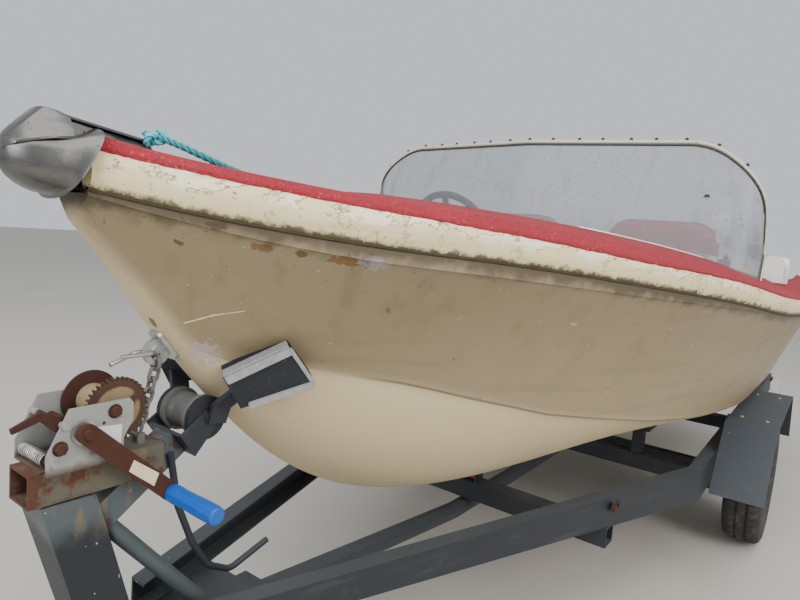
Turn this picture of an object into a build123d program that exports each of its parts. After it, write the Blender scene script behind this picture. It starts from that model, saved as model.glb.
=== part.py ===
from build123d import *
import math
import os

# An open fibreglass runabout on its single-axle trailer, parked on the jockey wheel.
# Millimetres. Bow towards -Y, stern towards +Y, port side +X, ground at Z = 0.

# Whole object
OVERALL_LENGTH = 4830.0
COUPLING_NOSE_Y = -OVERALL_LENGTH / 2
TAIL_Y = OVERALL_LENGTH / 2
BOW_Y = -1595.0
FIT_GAP = 0.3
SHAFT_GAP = 0.05

# Hull stations: distance aft of the bow, keel height, chine half-breadth, chine height,
# sheer half-breadth, sheer height, outward bulge of the bottom
HULL_STATIONS = [
    (90, 1068, 12, 1075, 46, 1112, 0),
    (170, 974, 30, 990, 118, 1090, 3),
    (270, 846, 45, 875, 198, 1068, 8),
    (410, 696, 105, 842, 297, 1048, 28),
    (620, 545, 225, 800, 428, 1032, 50),
    (920, 440, 400, 722, 575, 1008, 55),
    (1320, 415, 525, 655, 690, 978, 30),
    (1770, 410, 595, 600, 765, 945, 12),
    (2370, 410, 635, 556, 790, 925, 6),
    (3170, 410, 645, 550, 785, 915, 4),
    (4010, 410, 630, 548, 760, 925, 4),
]
BOW_ROWS = slice(0, 8)           # hull stations that the bow fittings touch
HULL_WALL = 9.0
DECK_START = 180.0       # distance aft where the foredeck begins
SHELL_START = 490.0      # distance aft where the shell becomes hollow
STATION_COUNT = 15       # steps that the lofts run through
STATION_SPREAD = 1.5     # how much the steps grow towards the transom
TRANSOM_THICKNESS = 38.0
MOTOR_CUTOUT_WIDTH = 520.0
MOTOR_CUTOUT_DROP = 130.0

# Gunwale roll and its non-skid strip
ROLL_HEIGHT = 66.0
ROLL_BULGE = 9.0
ROLL_INSET = 30.0
ROLL_TOP_RISE = 22.0
ROLL_TOP_IN = 36.0
GUNWALE_WIDTH = 112.0
GUNWALE_SKIN = 16.0
BOW_BLEND = 50.0         # width over which the two gunwales close at the bow
STRIP_THICKNESS = 4.0
STRIP_BED = 0.15

# Deck and cockpit
DECK_THICKNESS = 12.0
DECK_CAMBER = 34.0
DECK_LAP_GAP = 1.6
COCKPIT_FRONT_Y = -110.0
COCKPIT_REAR_Y = 1960.0
COCKPIT_HALF = 545.0
COCKPIT_CORNER = 160.0
COAMING_WALL = 22.0
COAMING_FRONT_TOP = 1108.0
COAMING_REAR_TOP = 1044.0
COAMING_BOTTOM = 930.0
WELL_HALF = 250.0
WELL_DEPTH = 150.0
WELL_WALL = 8.0
FLOOR_Z = 590.0
FLOOR_THICKNESS = 18.0

# Windscreen
SCREEN_THICKNESS = 5.0
SCREEN_LOW_Z = 1000.0
SCREEN_TOP_Z = 1425.0
SCREEN_HALF = 672.0
SCREEN_CORNER = 150.0
SCREEN_RAKE = 21.0
SCREEN_FRONT_Y = -215.0
SCREEN_BEND_X = 632.0
SCREEN_BEND_Y = -120.0
SCREEN_END_Y = 380.0
SCREEN_END_HIGH_Y = 40.0
SCREEN_BEND_RADIUS = 110.0
SCREEN_INSET = 3.0
TRIM_WIDTH = 14.0
TRIM_THICKNESS = 13.0

# Bow casting sections: distance behind the bow, half width, low z, high z
CASTING_SECTIONS = [
    (-6, 12, 1136, 1192),
    (14, 36, 1120, 1208),
    (48, 54, 1106, 1216),
    (90, 64, 1098, 1212),
]
HOOD_LENGTH = 190.0
HOOD_HALF = 78.0
HOOD_FRONT_Z = 1216.0
HOOD_REAR_Z = 1204.0
HOOD_SHEET = 6.0

# Side lamps and the white fitting on the port side
LAMP_X = 598.0
LAMP_Y = 95.0
LAMP_FOOT_Z = 1012.0
LAMP_HEIGHT = 90.0
LAMP_SIZE = (48.0, 84.0)
FITTING_X = 694.0
FITTING_Y = 412.0
FITTING_LENGTH = 260.0
FITTING_CHEEK = 34.0
FITTING_TOP = 1113.0
FITTING_FOOT_Z = 985.0
FITTING_RADIUS = 27.0

# Helm
WHEEL_X = -340.0
WHEEL_CENTRE = (WHEEL_X, 70.0, 1115.0)
WHEEL_RADIUS = 165.0
WHEEL_RIM = 13.0
WHEEL_TILT = 30.0
COLUMN_LENGTH = 150.0
COLUMN_RADIUS = 20.0
WHEEL_HUB_DEPTH = 34.0
DASH_HALF = 380.0
DASH_LOW_Z = 820.0
DASH_TOP_Z = 1085.0
DASH_THICKNESS = 20.0
SEAT_X = 305.0
SEAT_WIDTH = 400.0
SEAT_FRONT_Y = 190.0
SEAT_DEPTH = 400.0
SEAT_BOX_TOP = 800.0
CUSHION_THICKNESS = 90.0
BACK_TOP = 1215.0
BACK_THICKNESS = 85.0

# Trailer frame
RAIL_TOP = 430.0
RAIL_WIDTH = 40.0
RAIL_WALL = 5.0
RAIL_DEPTH_NOSE = 55.0
RAIL_DEPTH = 100.0
RAIL_NOSE_X = 90.0
RAIL_NOSE_Y = -1343.0
RAIL_X = 605.0
RAIL_BEND_Y = 144.0
RAIL_REAR_Y = 2330.0
DRAWBAR = 75.0
DRAWBAR_REAR_Y = -1120.0
NOSE_PLATE = 6.0
SPINE_DIAMETER = 50.0
CROSS_DEPTH = 55.0
CROSS_WIDTH = 60.0
CROSS_YS = (-270.0, 470.0, 1380.0, 2290.0)
KEEL_ROLLER_RADIUS = 34.0
KEEL_ROLLER_HALF = 42.0
CHEEK = 5.0
BUNK_X = 330.0
BUNK_WIDTH = 90.0
BUNK_LOW = 430.0
BUNK_DEPTH = 68.0
BUNK_FRONT_Y = 420.0
BUNK_REAR_Y = 2325.0
BUNK_POST = 40.0

# Running gear
AXLE_Y = 795.0
AXLE_Z = 245.0
AXLE_BAR = 40.0
TRACK_HALF = 690.0
TYRE_RADIUS = 245.0
TYRE_WIDTH = 136.0
RIM_RADIUS = 128.0
BEAD_LIP = 14.0
STUB_RADIUS = 16.0
SPRING_WIDTH = 45.0
SPRING_HALF = 260.0
GUARD_INNER_X = 613.0
GUARD_OUTER_X = 774.0
GUARD_TOP = 531.0
GUARD_SHEET = 3.0
GUARD_TOP_HALF = 350.0
GUARD_END_OUT = 170.0
GUARD_END_Z = 318.0
STRAP_SPREAD = 240.0
STRAP_WIDTH = 40.0

# Winch post, winch and bow support
POST = 75.0
POST_RAKE = 16.3
POST_FOOT_Y = -1431.0
BASE_TUBE = 50.0
BASE_TOP = 722.0
BASE_FRONT_Y = -1570.0
BASE_REAR_Y = -1365.0
PLATE_X = 50.0
PLATE_THICKNESS = 3.0
DRUM_Y = -1450.0
DRUM_Z = 795.0
GEAR_MODULE = 2.5
GEAR_TEETH = 38
PINION_TEETH = 10
GEAR_FACE = 8.0
GEAR_X = 30.0
CRANK_DROP = 18.0
CRANK_LENGTH = 185.0
CRANK_ANGLE = -43.0
CRANK_X = 62.0
CRANK_PLATE = 6.0
SHAFT_RADIUS = 7.0
DRUM_PIN = 6.0
DRUM_RADIUS = 25.0
FLANGE_RADIUS = 45.0
# Rods through the winch's side plates: y, z, radius
SPACERS = [(DRUM_Y, DRUM_Z, DRUM_PIN), (-1532.0, 790.0, 5.0), (-1545.0, 737.0, 5.0)]
PAWL_X = 34.0
PAWL_PROFILE = [(-1540, 780), (-1520, 786), (-1519, 796), (-1560, 812), (-1596, 796), (-1594, 789), (-1560, 800)]
GRIP_LENGTH = 112.0
GRIP_RADIUS = 14.5
GRIP_PIN = 5.0
# Bow eye, chain and hook
STEM_EYE_Y = -1352.0
EYE_OUTWARD = (-0.788, -0.616)
EYE_REACH = 19.0
EYE_THICKNESS = 10.0
EYE_RADIUS = 22.0
EYE_BORE = 13.0
EYE_FLANGE = (16.0, 30.0)
SHACKLE_RADIUS = 12.0
LINK_WIRE = 3.0
LINK_INNER = 18.0
LINK_HALF_WIDTH = 7.5
CHAIN_FOOT_Y = -1398.0
HOOK_WIRE = 3.5
HOOK_END_Y = -1432.0
HOOK_DROP = 15.0
ARM_TUBE = 45.0
BRACE_RADIUS = 14.0
ROD_RADIUS = 6.0
BENT_ROD = [(-1352, 700), (-1334, 604), (-1303, 527), (-1269, 470), (-1217, 440), (-1128, 465)]
ROLLER_PIN = 8.0
FORK_PLATE = 4.0
PAD_CORNERS = [(84, -1298, 838), (150, -1217, 893), (150, -1157, 829), (90, -1264, 782)]
PAD_OUTWARD = (0.8245, -0.519, -0.2259)
PAD_THICKNESS = 16.0
PAD_SINK = 30.0
PAD_ARM = [(54, -1283, 744), (60, -1278, 775), (92, -1262, 808), (134, -1208, 848)]
PAD_ARM_SIZE = (8.0, 36.0)
ROLLER_RADIUS = 38.0
ROLLER_LENGTH = 92.0
ROLLER_Y = -1295.0
ROLLER_Z = 752.5

# Coupling and jockey wheel
JOCKEY_X = 80.0
JOCKEY_Y = -1950.0
JOCKEY_RADIUS = 76.0
JOCKEY_WIDTH = 50.0
JOCKEY_TRAIL = 42.0
JOCKEY_TUBE = 24.0
JOCKEY_LEG = 20.0
JOCKEY_TUBE_LOW = 290.0
JOCKEY_TUBE_TOP = 640.0
JOCKEY_FORK_TOP = 172.0
JOCKEY_LEG_TOP = 430.0
JOCKEY_CROWN = 12.0
JOCKEY_PIN = 6.0
JOCKEY_FORK_X = 29.0
CLAMP_LOW = 306.0
CLAMP_HEIGHT = 52.0
BALL_RADIUS = 25.3
SOCKET_WALL = 9.0
SOCKET_Z = 352.0
COUPLING_WIDTH = 60.0

# Light board
BOARD_FRONT_Y = RAIL_REAR_Y
BOARD_DEPTH = 32.0
BOARD_LOW = 335.0
BOARD_HIGH = 395.0
BOARD_HALF = 640.0
LAMP_BOX = (170.0, 80.0, 40.0)
TAIL_LAMP_X = 530.0
PLATE_PANEL = (372.0, 80.0, 3.0)

# Mooring rope: route over the foredeck, then its coil
ROPE_DIAMETER = 10.5
ROPE_ROUTE = [
    (8, -1404, 1210), (38, -1398, 1205), (68, -1389, 1196), (96, -1372, 1184), (114, -1343, 1171),
    (122, -1307, 1162), (118, -1267, 1151), (101, -1216, 1136), (77, -1146, 1128), (60, -1062, 1124),
    (66, -974, 1120), (88, -890, 1115), (114, -812, 1110), (131, -748, 1106),
]
COIL_CENTRE = (67.0, -731.0)
COIL_OUTER = 79.0
COIL_INNER = 37.0
COIL_HEIGHT = 23.0

os.makedirs("parts", exist_ok=True)


def save(builder, name):
    builder.part.label = name
    export_step(builder.part, f"parts/{name}.step")


def across(y):
    """Plane that cuts the boat at station y: local x is X, local y is Z."""
    return Plane.XZ.offset(-y)


def sideways(x):
    """Plane along the boat at x: local x is Y, local y is Z."""
    return Plane.YZ.offset(x)


def station(aft):
    """Hull station at a distance aft of the bow, by monotone cubic steps through the table."""
    spots = [row[0] for row in HULL_STATIONS]
    aft = min(max(aft, spots[0]), spots[-1])
    k = max(i for i in range(len(spots) - 1) if spots[i] <= aft)
    values = [aft]
    for column in range(1, len(HULL_STATIONS[0])):
        level = [row[column] for row in HULL_STATIONS]
        rise = [(level[i + 1] - level[i]) / (spots[i + 1] - spots[i]) for i in range(len(spots) - 1)]

        def slope(i):
            if i == 0 or i == len(spots) - 1:
                return rise[min(i, len(rise) - 1)]
            before, after = rise[i - 1], rise[i]
            return 0.0 if before * after <= 0 else 2 * before * after / (before + after)

        step = spots[k + 1] - spots[k]
        t = (aft - spots[k]) / step
        values.append(
            (2 * t**3 - 3 * t**2 + 1) * level[k]
            + (t**3 - 2 * t**2 + t) * step * slope(k)
            + (3 * t**2 - 2 * t**3) * level[k + 1]
            + (t**3 - t**2) * step * slope(k + 1)
        )
    return values


def stations(first, last):
    """Stations for a loft, closer together towards the bow."""
    count = max(3, round(STATION_COUNT * (last - first) / (HULL_AFT - HULL_START)))
    return [station(first + (last - first) * (i / count) ** STATION_SPREAD) for i in range(count + 1)]


def station_y(row):
    return BOW_Y + row[0]


def hull_outline(row, wall=0.0, raise_top=0.0):
    """Closed hull outline of one station, moved inwards by wall."""
    aft, keel, chine_x, chine_z, sheer_x, sheer_z, bulge = row
    keel_z = keel + 1.6 * wall
    cx, cz = chine_x - wall, chine_z + 0.5 * wall
    sx, sz = sheer_x - 1.15 * wall, sheer_z + raise_top
    run = math.hypot(cx, cz - keel_z)
    out = max(bulge, 0.5)
    mid = (cx / 2 + (cz - keel_z) / run * out, (keel_z + cz) / 2 - cx / run * out)
    with BuildLine() as outline:
        ThreePointArc((0, keel_z), mid, (cx, cz))
        Line((cx, cz), (sx, sz))
        Line((sx, sz), (-sx, sz))
        Line((-sx, sz), (-cx, cz))
        ThreePointArc((-cx, cz), (-mid[0], mid[1]), (0, keel_z))
    return outline.line


def hull_block(rows, wall=0.0, raise_top=0.0):
    with BuildPart() as block:
        for row in rows:
            with BuildSketch(across(station_y(row))):
                with BuildLine():
                    add(hull_outline(row, wall, raise_top))
                make_face()
        loft()
    return block.part


def gunwale_points(row):
    """Corner points of the gunwale moulding at one station, port side."""
    x, z = row[4], row[5]
    top = z + ROLL_HEIGHT + ROLL_TOP_RISE
    inner = (x - GUNWALE_WIDTH + math.hypot(x - GUNWALE_WIDTH, BOW_BLEND)) / 2
    width = x - inner
    crown = x - ROLL_TOP_IN * width / GUNWALE_WIDTH
    under = x - ROLL_INSET * width / GUNWALE_WIDTH
    return {
        "under": (under, z),
        "low": (x, z),
        "bulge": (x + ROLL_BULGE, z + 0.45 * ROLL_HEIGHT),
        "high": (x - 4, z + ROLL_HEIGHT),
        "crown": (crown, top),
        "inner": (inner, top - 3),
        "inner_low": (inner, top - GUNWALE_SKIN),
        "corner": (under, top - GUNWALE_SKIN),
    }


def deck_edge(row):
    """Half-breadth and height of the deck's edge under the gunwale lip."""
    points = gunwale_points(row)
    inner_x, lip_z = points["inner_low"]
    edge_x = inner_x + 0.75 * (points["corner"][0] - inner_x)
    rise = DECK_CAMBER * edge_x / BEAM_HALF
    return edge_x, lip_z - DECK_LAP_GAP - rise * (1 - (inner_x / edge_x) ** 2)


def deck_block(rows, depth, lift=0.0):
    """Cambered slab under the deck's top surface."""
    with BuildPart() as block:
        for row in rows:
            x, z = deck_edge(row)
            rise = DECK_CAMBER * x / BEAM_HALF
            with BuildSketch(across(station_y(row))):
                with BuildLine():
                    ThreePointArc((-x, z + lift), (0, z + rise + lift), (x, z + lift))
                    Line((x, z + lift), (x, z - depth))
                    ThreePointArc((x, z - depth), (0, z + rise - depth), (-x, z - depth))
                    Line((-x, z - depth), (-x, z + lift))
                make_face()
        loft()
    return block.part


def topside_block(rows, lift):
    """Body under the deck and the gunwale strips, to trim what stands on them."""
    t = STRIP_THICKNESS + lift
    with BuildPart() as block:
        for row in rows:
            p = gunwale_points(row)
            edge_x, edge_z = deck_edge(row)
            rise = DECK_CAMBER * edge_x / BEAM_HALF
            inner_x = p["inner"][0] - lift
            lip_floor = edge_z + rise * (1 - (inner_x / edge_x) ** 2) + lift
            side = [
                (inner_x, lip_floor), (inner_x, p["inner"][1] + t), (p["crown"][0], p["crown"][1] + t),
                (p["high"][0] + t, p["high"][1] + 0.3 * t), (p["high"][0] + t, row[5] - 100),
            ]
            with BuildSketch(across(station_y(row))):
                with BuildLine():
                    ThreePointArc((-inner_x, lip_floor), (0, edge_z + rise + lift), (inner_x, lip_floor))
                    Polyline(*side, *[(-x, z) for x, z in reversed(side)])
                make_face()
        loft()
    return block.part


def rail_line(y):
    """Outer half-breadth of the side rail at y."""
    if y >= RAIL_BEND_Y:
        return RAIL_X
    share = (y - RAIL_NOSE_Y) / (RAIL_BEND_Y - RAIL_NOSE_Y)
    return RAIL_NOSE_X + share * (RAIL_X - RAIL_NOSE_X)


def rail_bottom(y):
    share = min(1.0, max(0.0, (y - RAIL_NOSE_Y) / (RAIL_BEND_Y - RAIL_NOSE_Y)))
    return RAIL_TOP - RAIL_DEPTH_NOSE - share * (RAIL_DEPTH - RAIL_DEPTH_NOSE)


HULL_START = HULL_STATIONS[0][0]
HULL_AFT = HULL_STATIONS[-1][0]
TRANSOM_Y = BOW_Y + HULL_AFT
BEAM_HALF = max(row[4] for row in HULL_STATIONS)
SHEER_AFT_Z = HULL_STATIONS[-1][5]

# Hull: lofted shell with a solid forefoot and the motor cut-out in its transom
hull_rows = stations(HULL_START, HULL_AFT)
hull_outer = hull_block(hull_rows, 0.0, -FIT_GAP)
hull_inner = hull_block(stations(SHELL_START, HULL_AFT - TRANSOM_THICKNESS), HULL_WALL, 60.0)
with BuildPart() as hull:
    add(hull_outer)
    add(hull_inner, mode=Mode.SUBTRACT)
    with BuildSketch(across(TRANSOM_Y - 2 * TRANSOM_THICKNESS)):
        with Locations((0, SHEER_AFT_Z)):
            Rectangle(MOTOR_CUTOUT_WIDTH, 2 * MOTOR_CUTOUT_DROP)
    extrude(amount=-4 * TRANSOM_THICKNESS, mode=Mode.SUBTRACT)
save(hull, "hull")

# Gunwale moulding along each side, and the non-skid strip on it
with BuildPart() as gunwale_port:
    for row in hull_rows:
        p = gunwale_points(row)
        with BuildSketch(across(station_y(row))):
            with BuildLine():
                Line(p["under"], p["low"])
                ThreePointArc(p["low"], p["bulge"], p["high"])
                Polyline(p["high"], p["crown"], p["inner"], p["inner_low"], p["corner"], p["under"])
            make_face()
    loft()
save(gunwale_port, "gunwale_port")
with BuildPart() as gunwale_starboard:
    add(gunwale_port.part)
    mirror(about=Plane.YZ, mode=Mode.REPLACE)
save(gunwale_starboard, "gunwale_starboard")
with BuildPart() as strip_port:
    for row in hull_rows:
        p = gunwale_points(row)
        t = STRIP_THICKNESS
        with BuildSketch(across(station_y(row))):
            with BuildLine():
                Polyline(
                    *[(p[corner][0], p[corner][1] + STRIP_BED) for corner in ("high", "crown", "inner")],
                    (p["inner"][0], p["inner"][1] + t),
                    (p["crown"][0], p["crown"][1] + t),
                    (p["high"][0] + t, p["high"][1] + 0.3 * t),
                    close=True,
                )
            make_face()
    loft()
with BuildPart() as strips:
    add(strip_port.part)
    mirror(about=Plane.YZ)
save(strips, "nonskid_strips")

# Deck with the cockpit opening, and the raised coaming round it
cockpit_mid_y = (COCKPIT_FRONT_Y + COCKPIT_REAR_Y) / 2
cockpit_length = COCKPIT_REAR_Y - COCKPIT_FRONT_Y
with BuildPart() as deck:
    add(deck_block(stations(DECK_START, HULL_AFT - 2), DECK_THICKNESS))
    with BuildSketch(Plane.XY.offset(COAMING_BOTTOM - 100)):
        with Locations((0, cockpit_mid_y)):
            RectangleRounded(2 * COCKPIT_HALF, cockpit_length, COCKPIT_CORNER)
        with Locations((0, TRANSOM_Y)):
            Rectangle(2 * WELL_HALF, 2 * (TRANSOM_Y - COCKPIT_REAR_Y) - 160)
    extrude(amount=400, mode=Mode.SUBTRACT)
save(deck, "deck")
with BuildPart() as coaming:
    with BuildSketch(Plane.XY.offset(COAMING_BOTTOM)):
        with Locations((0, cockpit_mid_y)):
            RectangleRounded(2 * COCKPIT_HALF, cockpit_length, COCKPIT_CORNER)
            RectangleRounded(
                2 * (COCKPIT_HALF - COAMING_WALL), cockpit_length - 2 * COAMING_WALL,
                COCKPIT_CORNER - COAMING_WALL, mode=Mode.SUBTRACT,
            )
    extrude(amount=300)
    with BuildSketch(sideways(-BEAM_HALF)):
        with BuildLine():
            Polyline(
                (COCKPIT_FRONT_Y - 50, COAMING_FRONT_TOP), (COCKPIT_REAR_Y + 50, COAMING_REAR_TOP),
                (COCKPIT_REAR_Y + 50, COAMING_FRONT_TOP + 300),
                (COCKPIT_FRONT_Y - 50, COAMING_FRONT_TOP + 300), close=True,
            )
        make_face()
    extrude(amount=2 * BEAM_HALF, mode=Mode.SUBTRACT)
save(coaming, "cockpit_coaming")

# Motor well let into the after deck
well_front = COCKPIT_REAR_Y + 80
well_rear = TRANSOM_Y - TRANSOM_THICKNESS
well_floor = SHEER_AFT_Z - WELL_DEPTH
with BuildPart() as motor_well:
    with BuildSketch(Plane.XY.offset(well_floor)):
        with Locations((0, (well_front + well_rear) / 2)):
            Rectangle(2 * WELL_HALF, well_rear - well_front)
    extrude(amount=WELL_DEPTH + 78)
    with BuildSketch(Plane.XY.offset(well_floor + WELL_WALL)):
        with Locations((0, (well_front + well_rear) / 2 + WELL_WALL)):
            Rectangle(2 * (WELL_HALF - WELL_WALL), well_rear - well_front)
    extrude(amount=WELL_DEPTH + 100, mode=Mode.SUBTRACT)
save(motor_well, "motor_well")

# Cockpit floor, trimmed to the inside of the hull
with BuildPart() as floor:
    with BuildSketch(Plane.XY.offset(FLOOR_Z)):
        with Locations((0, 850)):
            Rectangle(2 * BEAM_HALF, 2900)
    extrude(amount=FLOOR_THICKNESS)
    add(hull_inner, mode=Mode.INTERSECT)
save(floor, "cockpit_floor")

# Windscreen: one bent sheet, raked, trimmed to its outline, and the moulding on its edge
screen_plan = [
    (-SCREEN_HALF, SCREEN_END_Y), (-SCREEN_BEND_X, SCREEN_BEND_Y), (0, SCREEN_FRONT_Y),
    (SCREEN_BEND_X, SCREEN_BEND_Y), (SCREEN_HALF, SCREEN_END_Y),
]
screen_height = SCREEN_TOP_Z - SCREEN_LOW_Z
rake_run = math.tan(math.radians(SCREEN_RAKE))
topside = topside_block(hull_rows, 2 * FIT_GAP)


def screen_sheet(thickness, edge):
    """Raked bent sheet inside the windscreen's outline, edge in from its rim."""
    with BuildPart() as sheet:
        with BuildSketch(Plane.XY.offset(SCREEN_LOW_Z)):
            with BuildLine():
                FilletPolyline(*screen_plan, radius=SCREEN_BEND_RADIUS)
            trace(line_width=thickness)
        extrude(amount=screen_height + 60, dir=(0, rake_run, 1))
        with BuildSketch(across(SCREEN_FRONT_Y - 300)):
            with Locations((0, SCREEN_TOP_Z - edge - 400)):
                RectangleRounded(2 * (SCREEN_HALF + 30 - edge), 800, SCREEN_CORNER - edge / 2)
        extrude(amount=-1400, mode=Mode.INTERSECT)
        with BuildSketch(sideways(-BEAM_HALF)):
            with BuildLine():
                Polyline(
                    (SCREEN_FRONT_Y - 200, SCREEN_LOW_Z), (SCREEN_END_Y - edge, SCREEN_LOW_Z),
                    (SCREEN_END_Y - edge, 1060), (SCREEN_END_HIGH_Y - edge + 30, SCREEN_TOP_Z - 100),
                    (SCREEN_END_HIGH_Y - edge + 30, SCREEN_TOP_Z + 100),
                    (SCREEN_FRONT_Y - 200, SCREEN_TOP_Z + 100), close=True,
                )
            make_face()
        extrude(amount=2 * BEAM_HALF, mode=Mode.INTERSECT)
    return sheet.part


with BuildPart() as windscreen:
    add(screen_sheet(SCREEN_THICKNESS, SCREEN_INSET))
    add(topside, mode=Mode.SUBTRACT)
save(windscreen, "windscreen")
with BuildPart() as screen_trim:
    add(screen_sheet(TRIM_THICKNESS, 0.0))
    add(screen_sheet(TRIM_THICKNESS + 10, TRIM_WIDTH), mode=Mode.SUBTRACT)
    add(screen_sheet(SCREEN_THICKNESS, SCREEN_INSET), mode=Mode.SUBTRACT)
    add(topside, mode=Mode.SUBTRACT)
save(screen_trim, "windscreen_trim")

# Helm: dash panel, steering column and wheel
dash_front = COCKPIT_FRONT_Y + COAMING_WALL
with BuildPart() as dashboard:
    with BuildSketch(across(dash_front)):
        with Locations((0, (DASH_LOW_Z + DASH_TOP_Z) / 2)):
            Rectangle(2 * DASH_HALF, DASH_TOP_Z - DASH_LOW_Z)
    extrude(amount=-DASH_THICKNESS)
save(dashboard, "dashboard")
tilt = math.radians(WHEEL_TILT)
helm_axis = Vector(0, math.cos(tilt), math.sin(tilt))
helm_plane = Plane(origin=WHEEL_CENTRE, x_dir=(1, 0, 0), z_dir=helm_axis)
with BuildPart() as column:
    with BuildSketch(helm_plane.offset(-COLUMN_LENGTH)):
        Circle(COLUMN_RADIUS)
    extrude(amount=COLUMN_LENGTH - WHEEL_HUB_DEPTH - FIT_GAP)
    split(bisect_by=Plane.XZ.offset(-(dash_front + DASH_THICKNESS)), keep=Keep.BOTTOM)
save(column, "steering_column")
with BuildPart() as steering_wheel:
    with BuildSketch(Plane(origin=WHEEL_CENTRE, x_dir=(1, 0, 0), z_dir=(0, -math.sin(tilt), math.cos(tilt)))):
        with Locations((WHEEL_RADIUS - WHEEL_RIM, 0)):
            Circle(WHEEL_RIM)
    revolve(axis=Axis(WHEEL_CENTRE, helm_axis))
    with BuildSketch(helm_plane.offset(-WHEEL_HUB_DEPTH)):
        Circle(30)
    extrude(amount=WHEEL_HUB_DEPTH + 4)
    with BuildSketch(helm_plane.offset(-6)):
        with PolarLocations(WHEEL_RADIUS / 2 - 8, 3, start_angle=-90):
            Rectangle(WHEEL_RADIUS - 20, 24)
    extrude(amount=6)
save(steering_wheel, "steering_wheel")

# Two seats: moulded boxes, cushions and backs
seat_rear = SEAT_FRONT_Y + SEAT_DEPTH
seat_spots = [(side * SEAT_X, (SEAT_FRONT_Y + seat_rear) / 2) for side in (1, -1)]
back_low = SEAT_BOX_TOP + CUSHION_THICKNESS + 2 * FIT_GAP
with BuildPart() as seat_boxes:
    with BuildSketch(Plane.XY.offset(FLOOR_Z + FLOOR_THICKNESS)):
        with Locations(*seat_spots):
            RectangleRounded(SEAT_WIDTH - 30, SEAT_DEPTH - 10, 30)
    extrude(amount=SEAT_BOX_TOP - FLOOR_Z - FLOOR_THICKNESS)
save(seat_boxes, "seat_boxes")
with BuildPart() as cushions:
    with BuildSketch(Plane.XY.offset(SEAT_BOX_TOP + FIT_GAP)):
        with Locations(*seat_spots):
            RectangleRounded(SEAT_WIDTH, SEAT_DEPTH, 45)
    extrude(amount=CUSHION_THICKNESS)
save(cushions, "seat_cushions")
with BuildPart() as seat_backs:
    with BuildSketch(across(seat_rear - BACK_THICKNESS)):
        with Locations(*[(x, (back_low + BACK_TOP) / 2) for x, y in seat_spots]):
            RectangleRounded(SEAT_WIDTH - 10, BACK_TOP - back_low, 80)
    extrude(amount=-BACK_THICKNESS)
save(seat_backs, "seat_backs")

# Cast stemhead over the bow
hood_front, hood_rear = BOW_Y + HULL_START, BOW_Y + HOOD_LENGTH
with BuildPart() as hood:
    with BuildSketch(sideways(-HOOD_HALF)):
        with BuildLine():
            Polyline(
                (hood_front - 30, HOOD_FRONT_Z - 12), (hood_rear, HOOD_REAR_Z - HOOD_SHEET),
                (hood_rear, HOOD_REAR_Z), (hood_front - 30, HOOD_FRONT_Z + 3), close=True,
            )
        make_face()
    extrude(amount=2 * HOOD_HALF)
    with BuildSketch(Plane.XY.offset(HOOD_REAR_Z - 60)):
        with BuildLine():
            Polyline(
                (-30, hood_front - 30), (30, hood_front - 30), (HOOD_HALF, hood_rear),
                (-HOOD_HALF, hood_rear), close=True,
            )
        make_face()
    extrude(amount=120, mode=Mode.INTERSECT)
    add(strips.part, mode=Mode.SUBTRACT)
with BuildPart() as casting:
    for aft, half, low, high in CASTING_SECTIONS:
        widest = high - 0.35 * (high - low)
        with BuildSketch(across(BOW_Y + aft)):
            with BuildLine():
                ThreePointArc((-half, widest), (0, low), (half, widest))
                ThreePointArc((half, widest), (0, high), (-half, widest))
            make_face()
    loft()
    add(hood.part)
save(casting, "bow_casting")

# Side lamps on the deck inside the windscreen
with BuildPart() as lamps:
    with BuildSketch(Plane.XY.offset(LAMP_FOOT_Z)):
        with Locations((LAMP_X, LAMP_Y), (-LAMP_X, LAMP_Y)):
            Rectangle(*LAMP_SIZE)
    extrude(amount=LAMP_HEIGHT, taper=14)
    add(topside, mode=Mode.SUBTRACT)
save(lamps, "side_lamps")

# Trailer side rails: channels that converge to the nose, deeper towards the axle


def rail_solid(inset, outer_shift, inner_shift):
    with BuildPart() as rail:
        with BuildSketch(Plane.XY.offset(RAIL_TOP - RAIL_DEPTH - 20)):
            with BuildLine():
                Polyline(
                    (RAIL_NOSE_X - outer_shift, RAIL_NOSE_Y), (RAIL_X - outer_shift, RAIL_BEND_Y),
                    (RAIL_X - outer_shift, RAIL_REAR_Y), (RAIL_X - inner_shift, RAIL_REAR_Y),
                    (RAIL_X - inner_shift, RAIL_BEND_Y), (RAIL_NOSE_X - inner_shift, RAIL_NOSE_Y),
                    close=True,
                )
            make_face()
        extrude(amount=RAIL_DEPTH + 40)
        with BuildSketch(sideways(-50)):
            with BuildLine():
                Polyline(
                    (RAIL_NOSE_Y, RAIL_TOP - inset), (RAIL_NOSE_Y, RAIL_TOP - RAIL_DEPTH_NOSE + inset),
                    (RAIL_BEND_Y, RAIL_TOP - RAIL_DEPTH + inset), (RAIL_REAR_Y, RAIL_TOP - RAIL_DEPTH + inset),
                    (RAIL_REAR_Y, RAIL_TOP - inset), close=True,
                )
            make_face()
        extrude(amount=800, mode=Mode.INTERSECT)
    return rail.part


with BuildPart() as rail_port:
    add(rail_solid(0, 0, RAIL_WIDTH))
    add(rail_solid(RAIL_WALL, RAIL_WALL, RAIL_WIDTH + 1), mode=Mode.SUBTRACT)
with BuildPart() as rails:
    add(rail_port.part)
    mirror(about=Plane.YZ)
save(rails, "side_rails")

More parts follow.
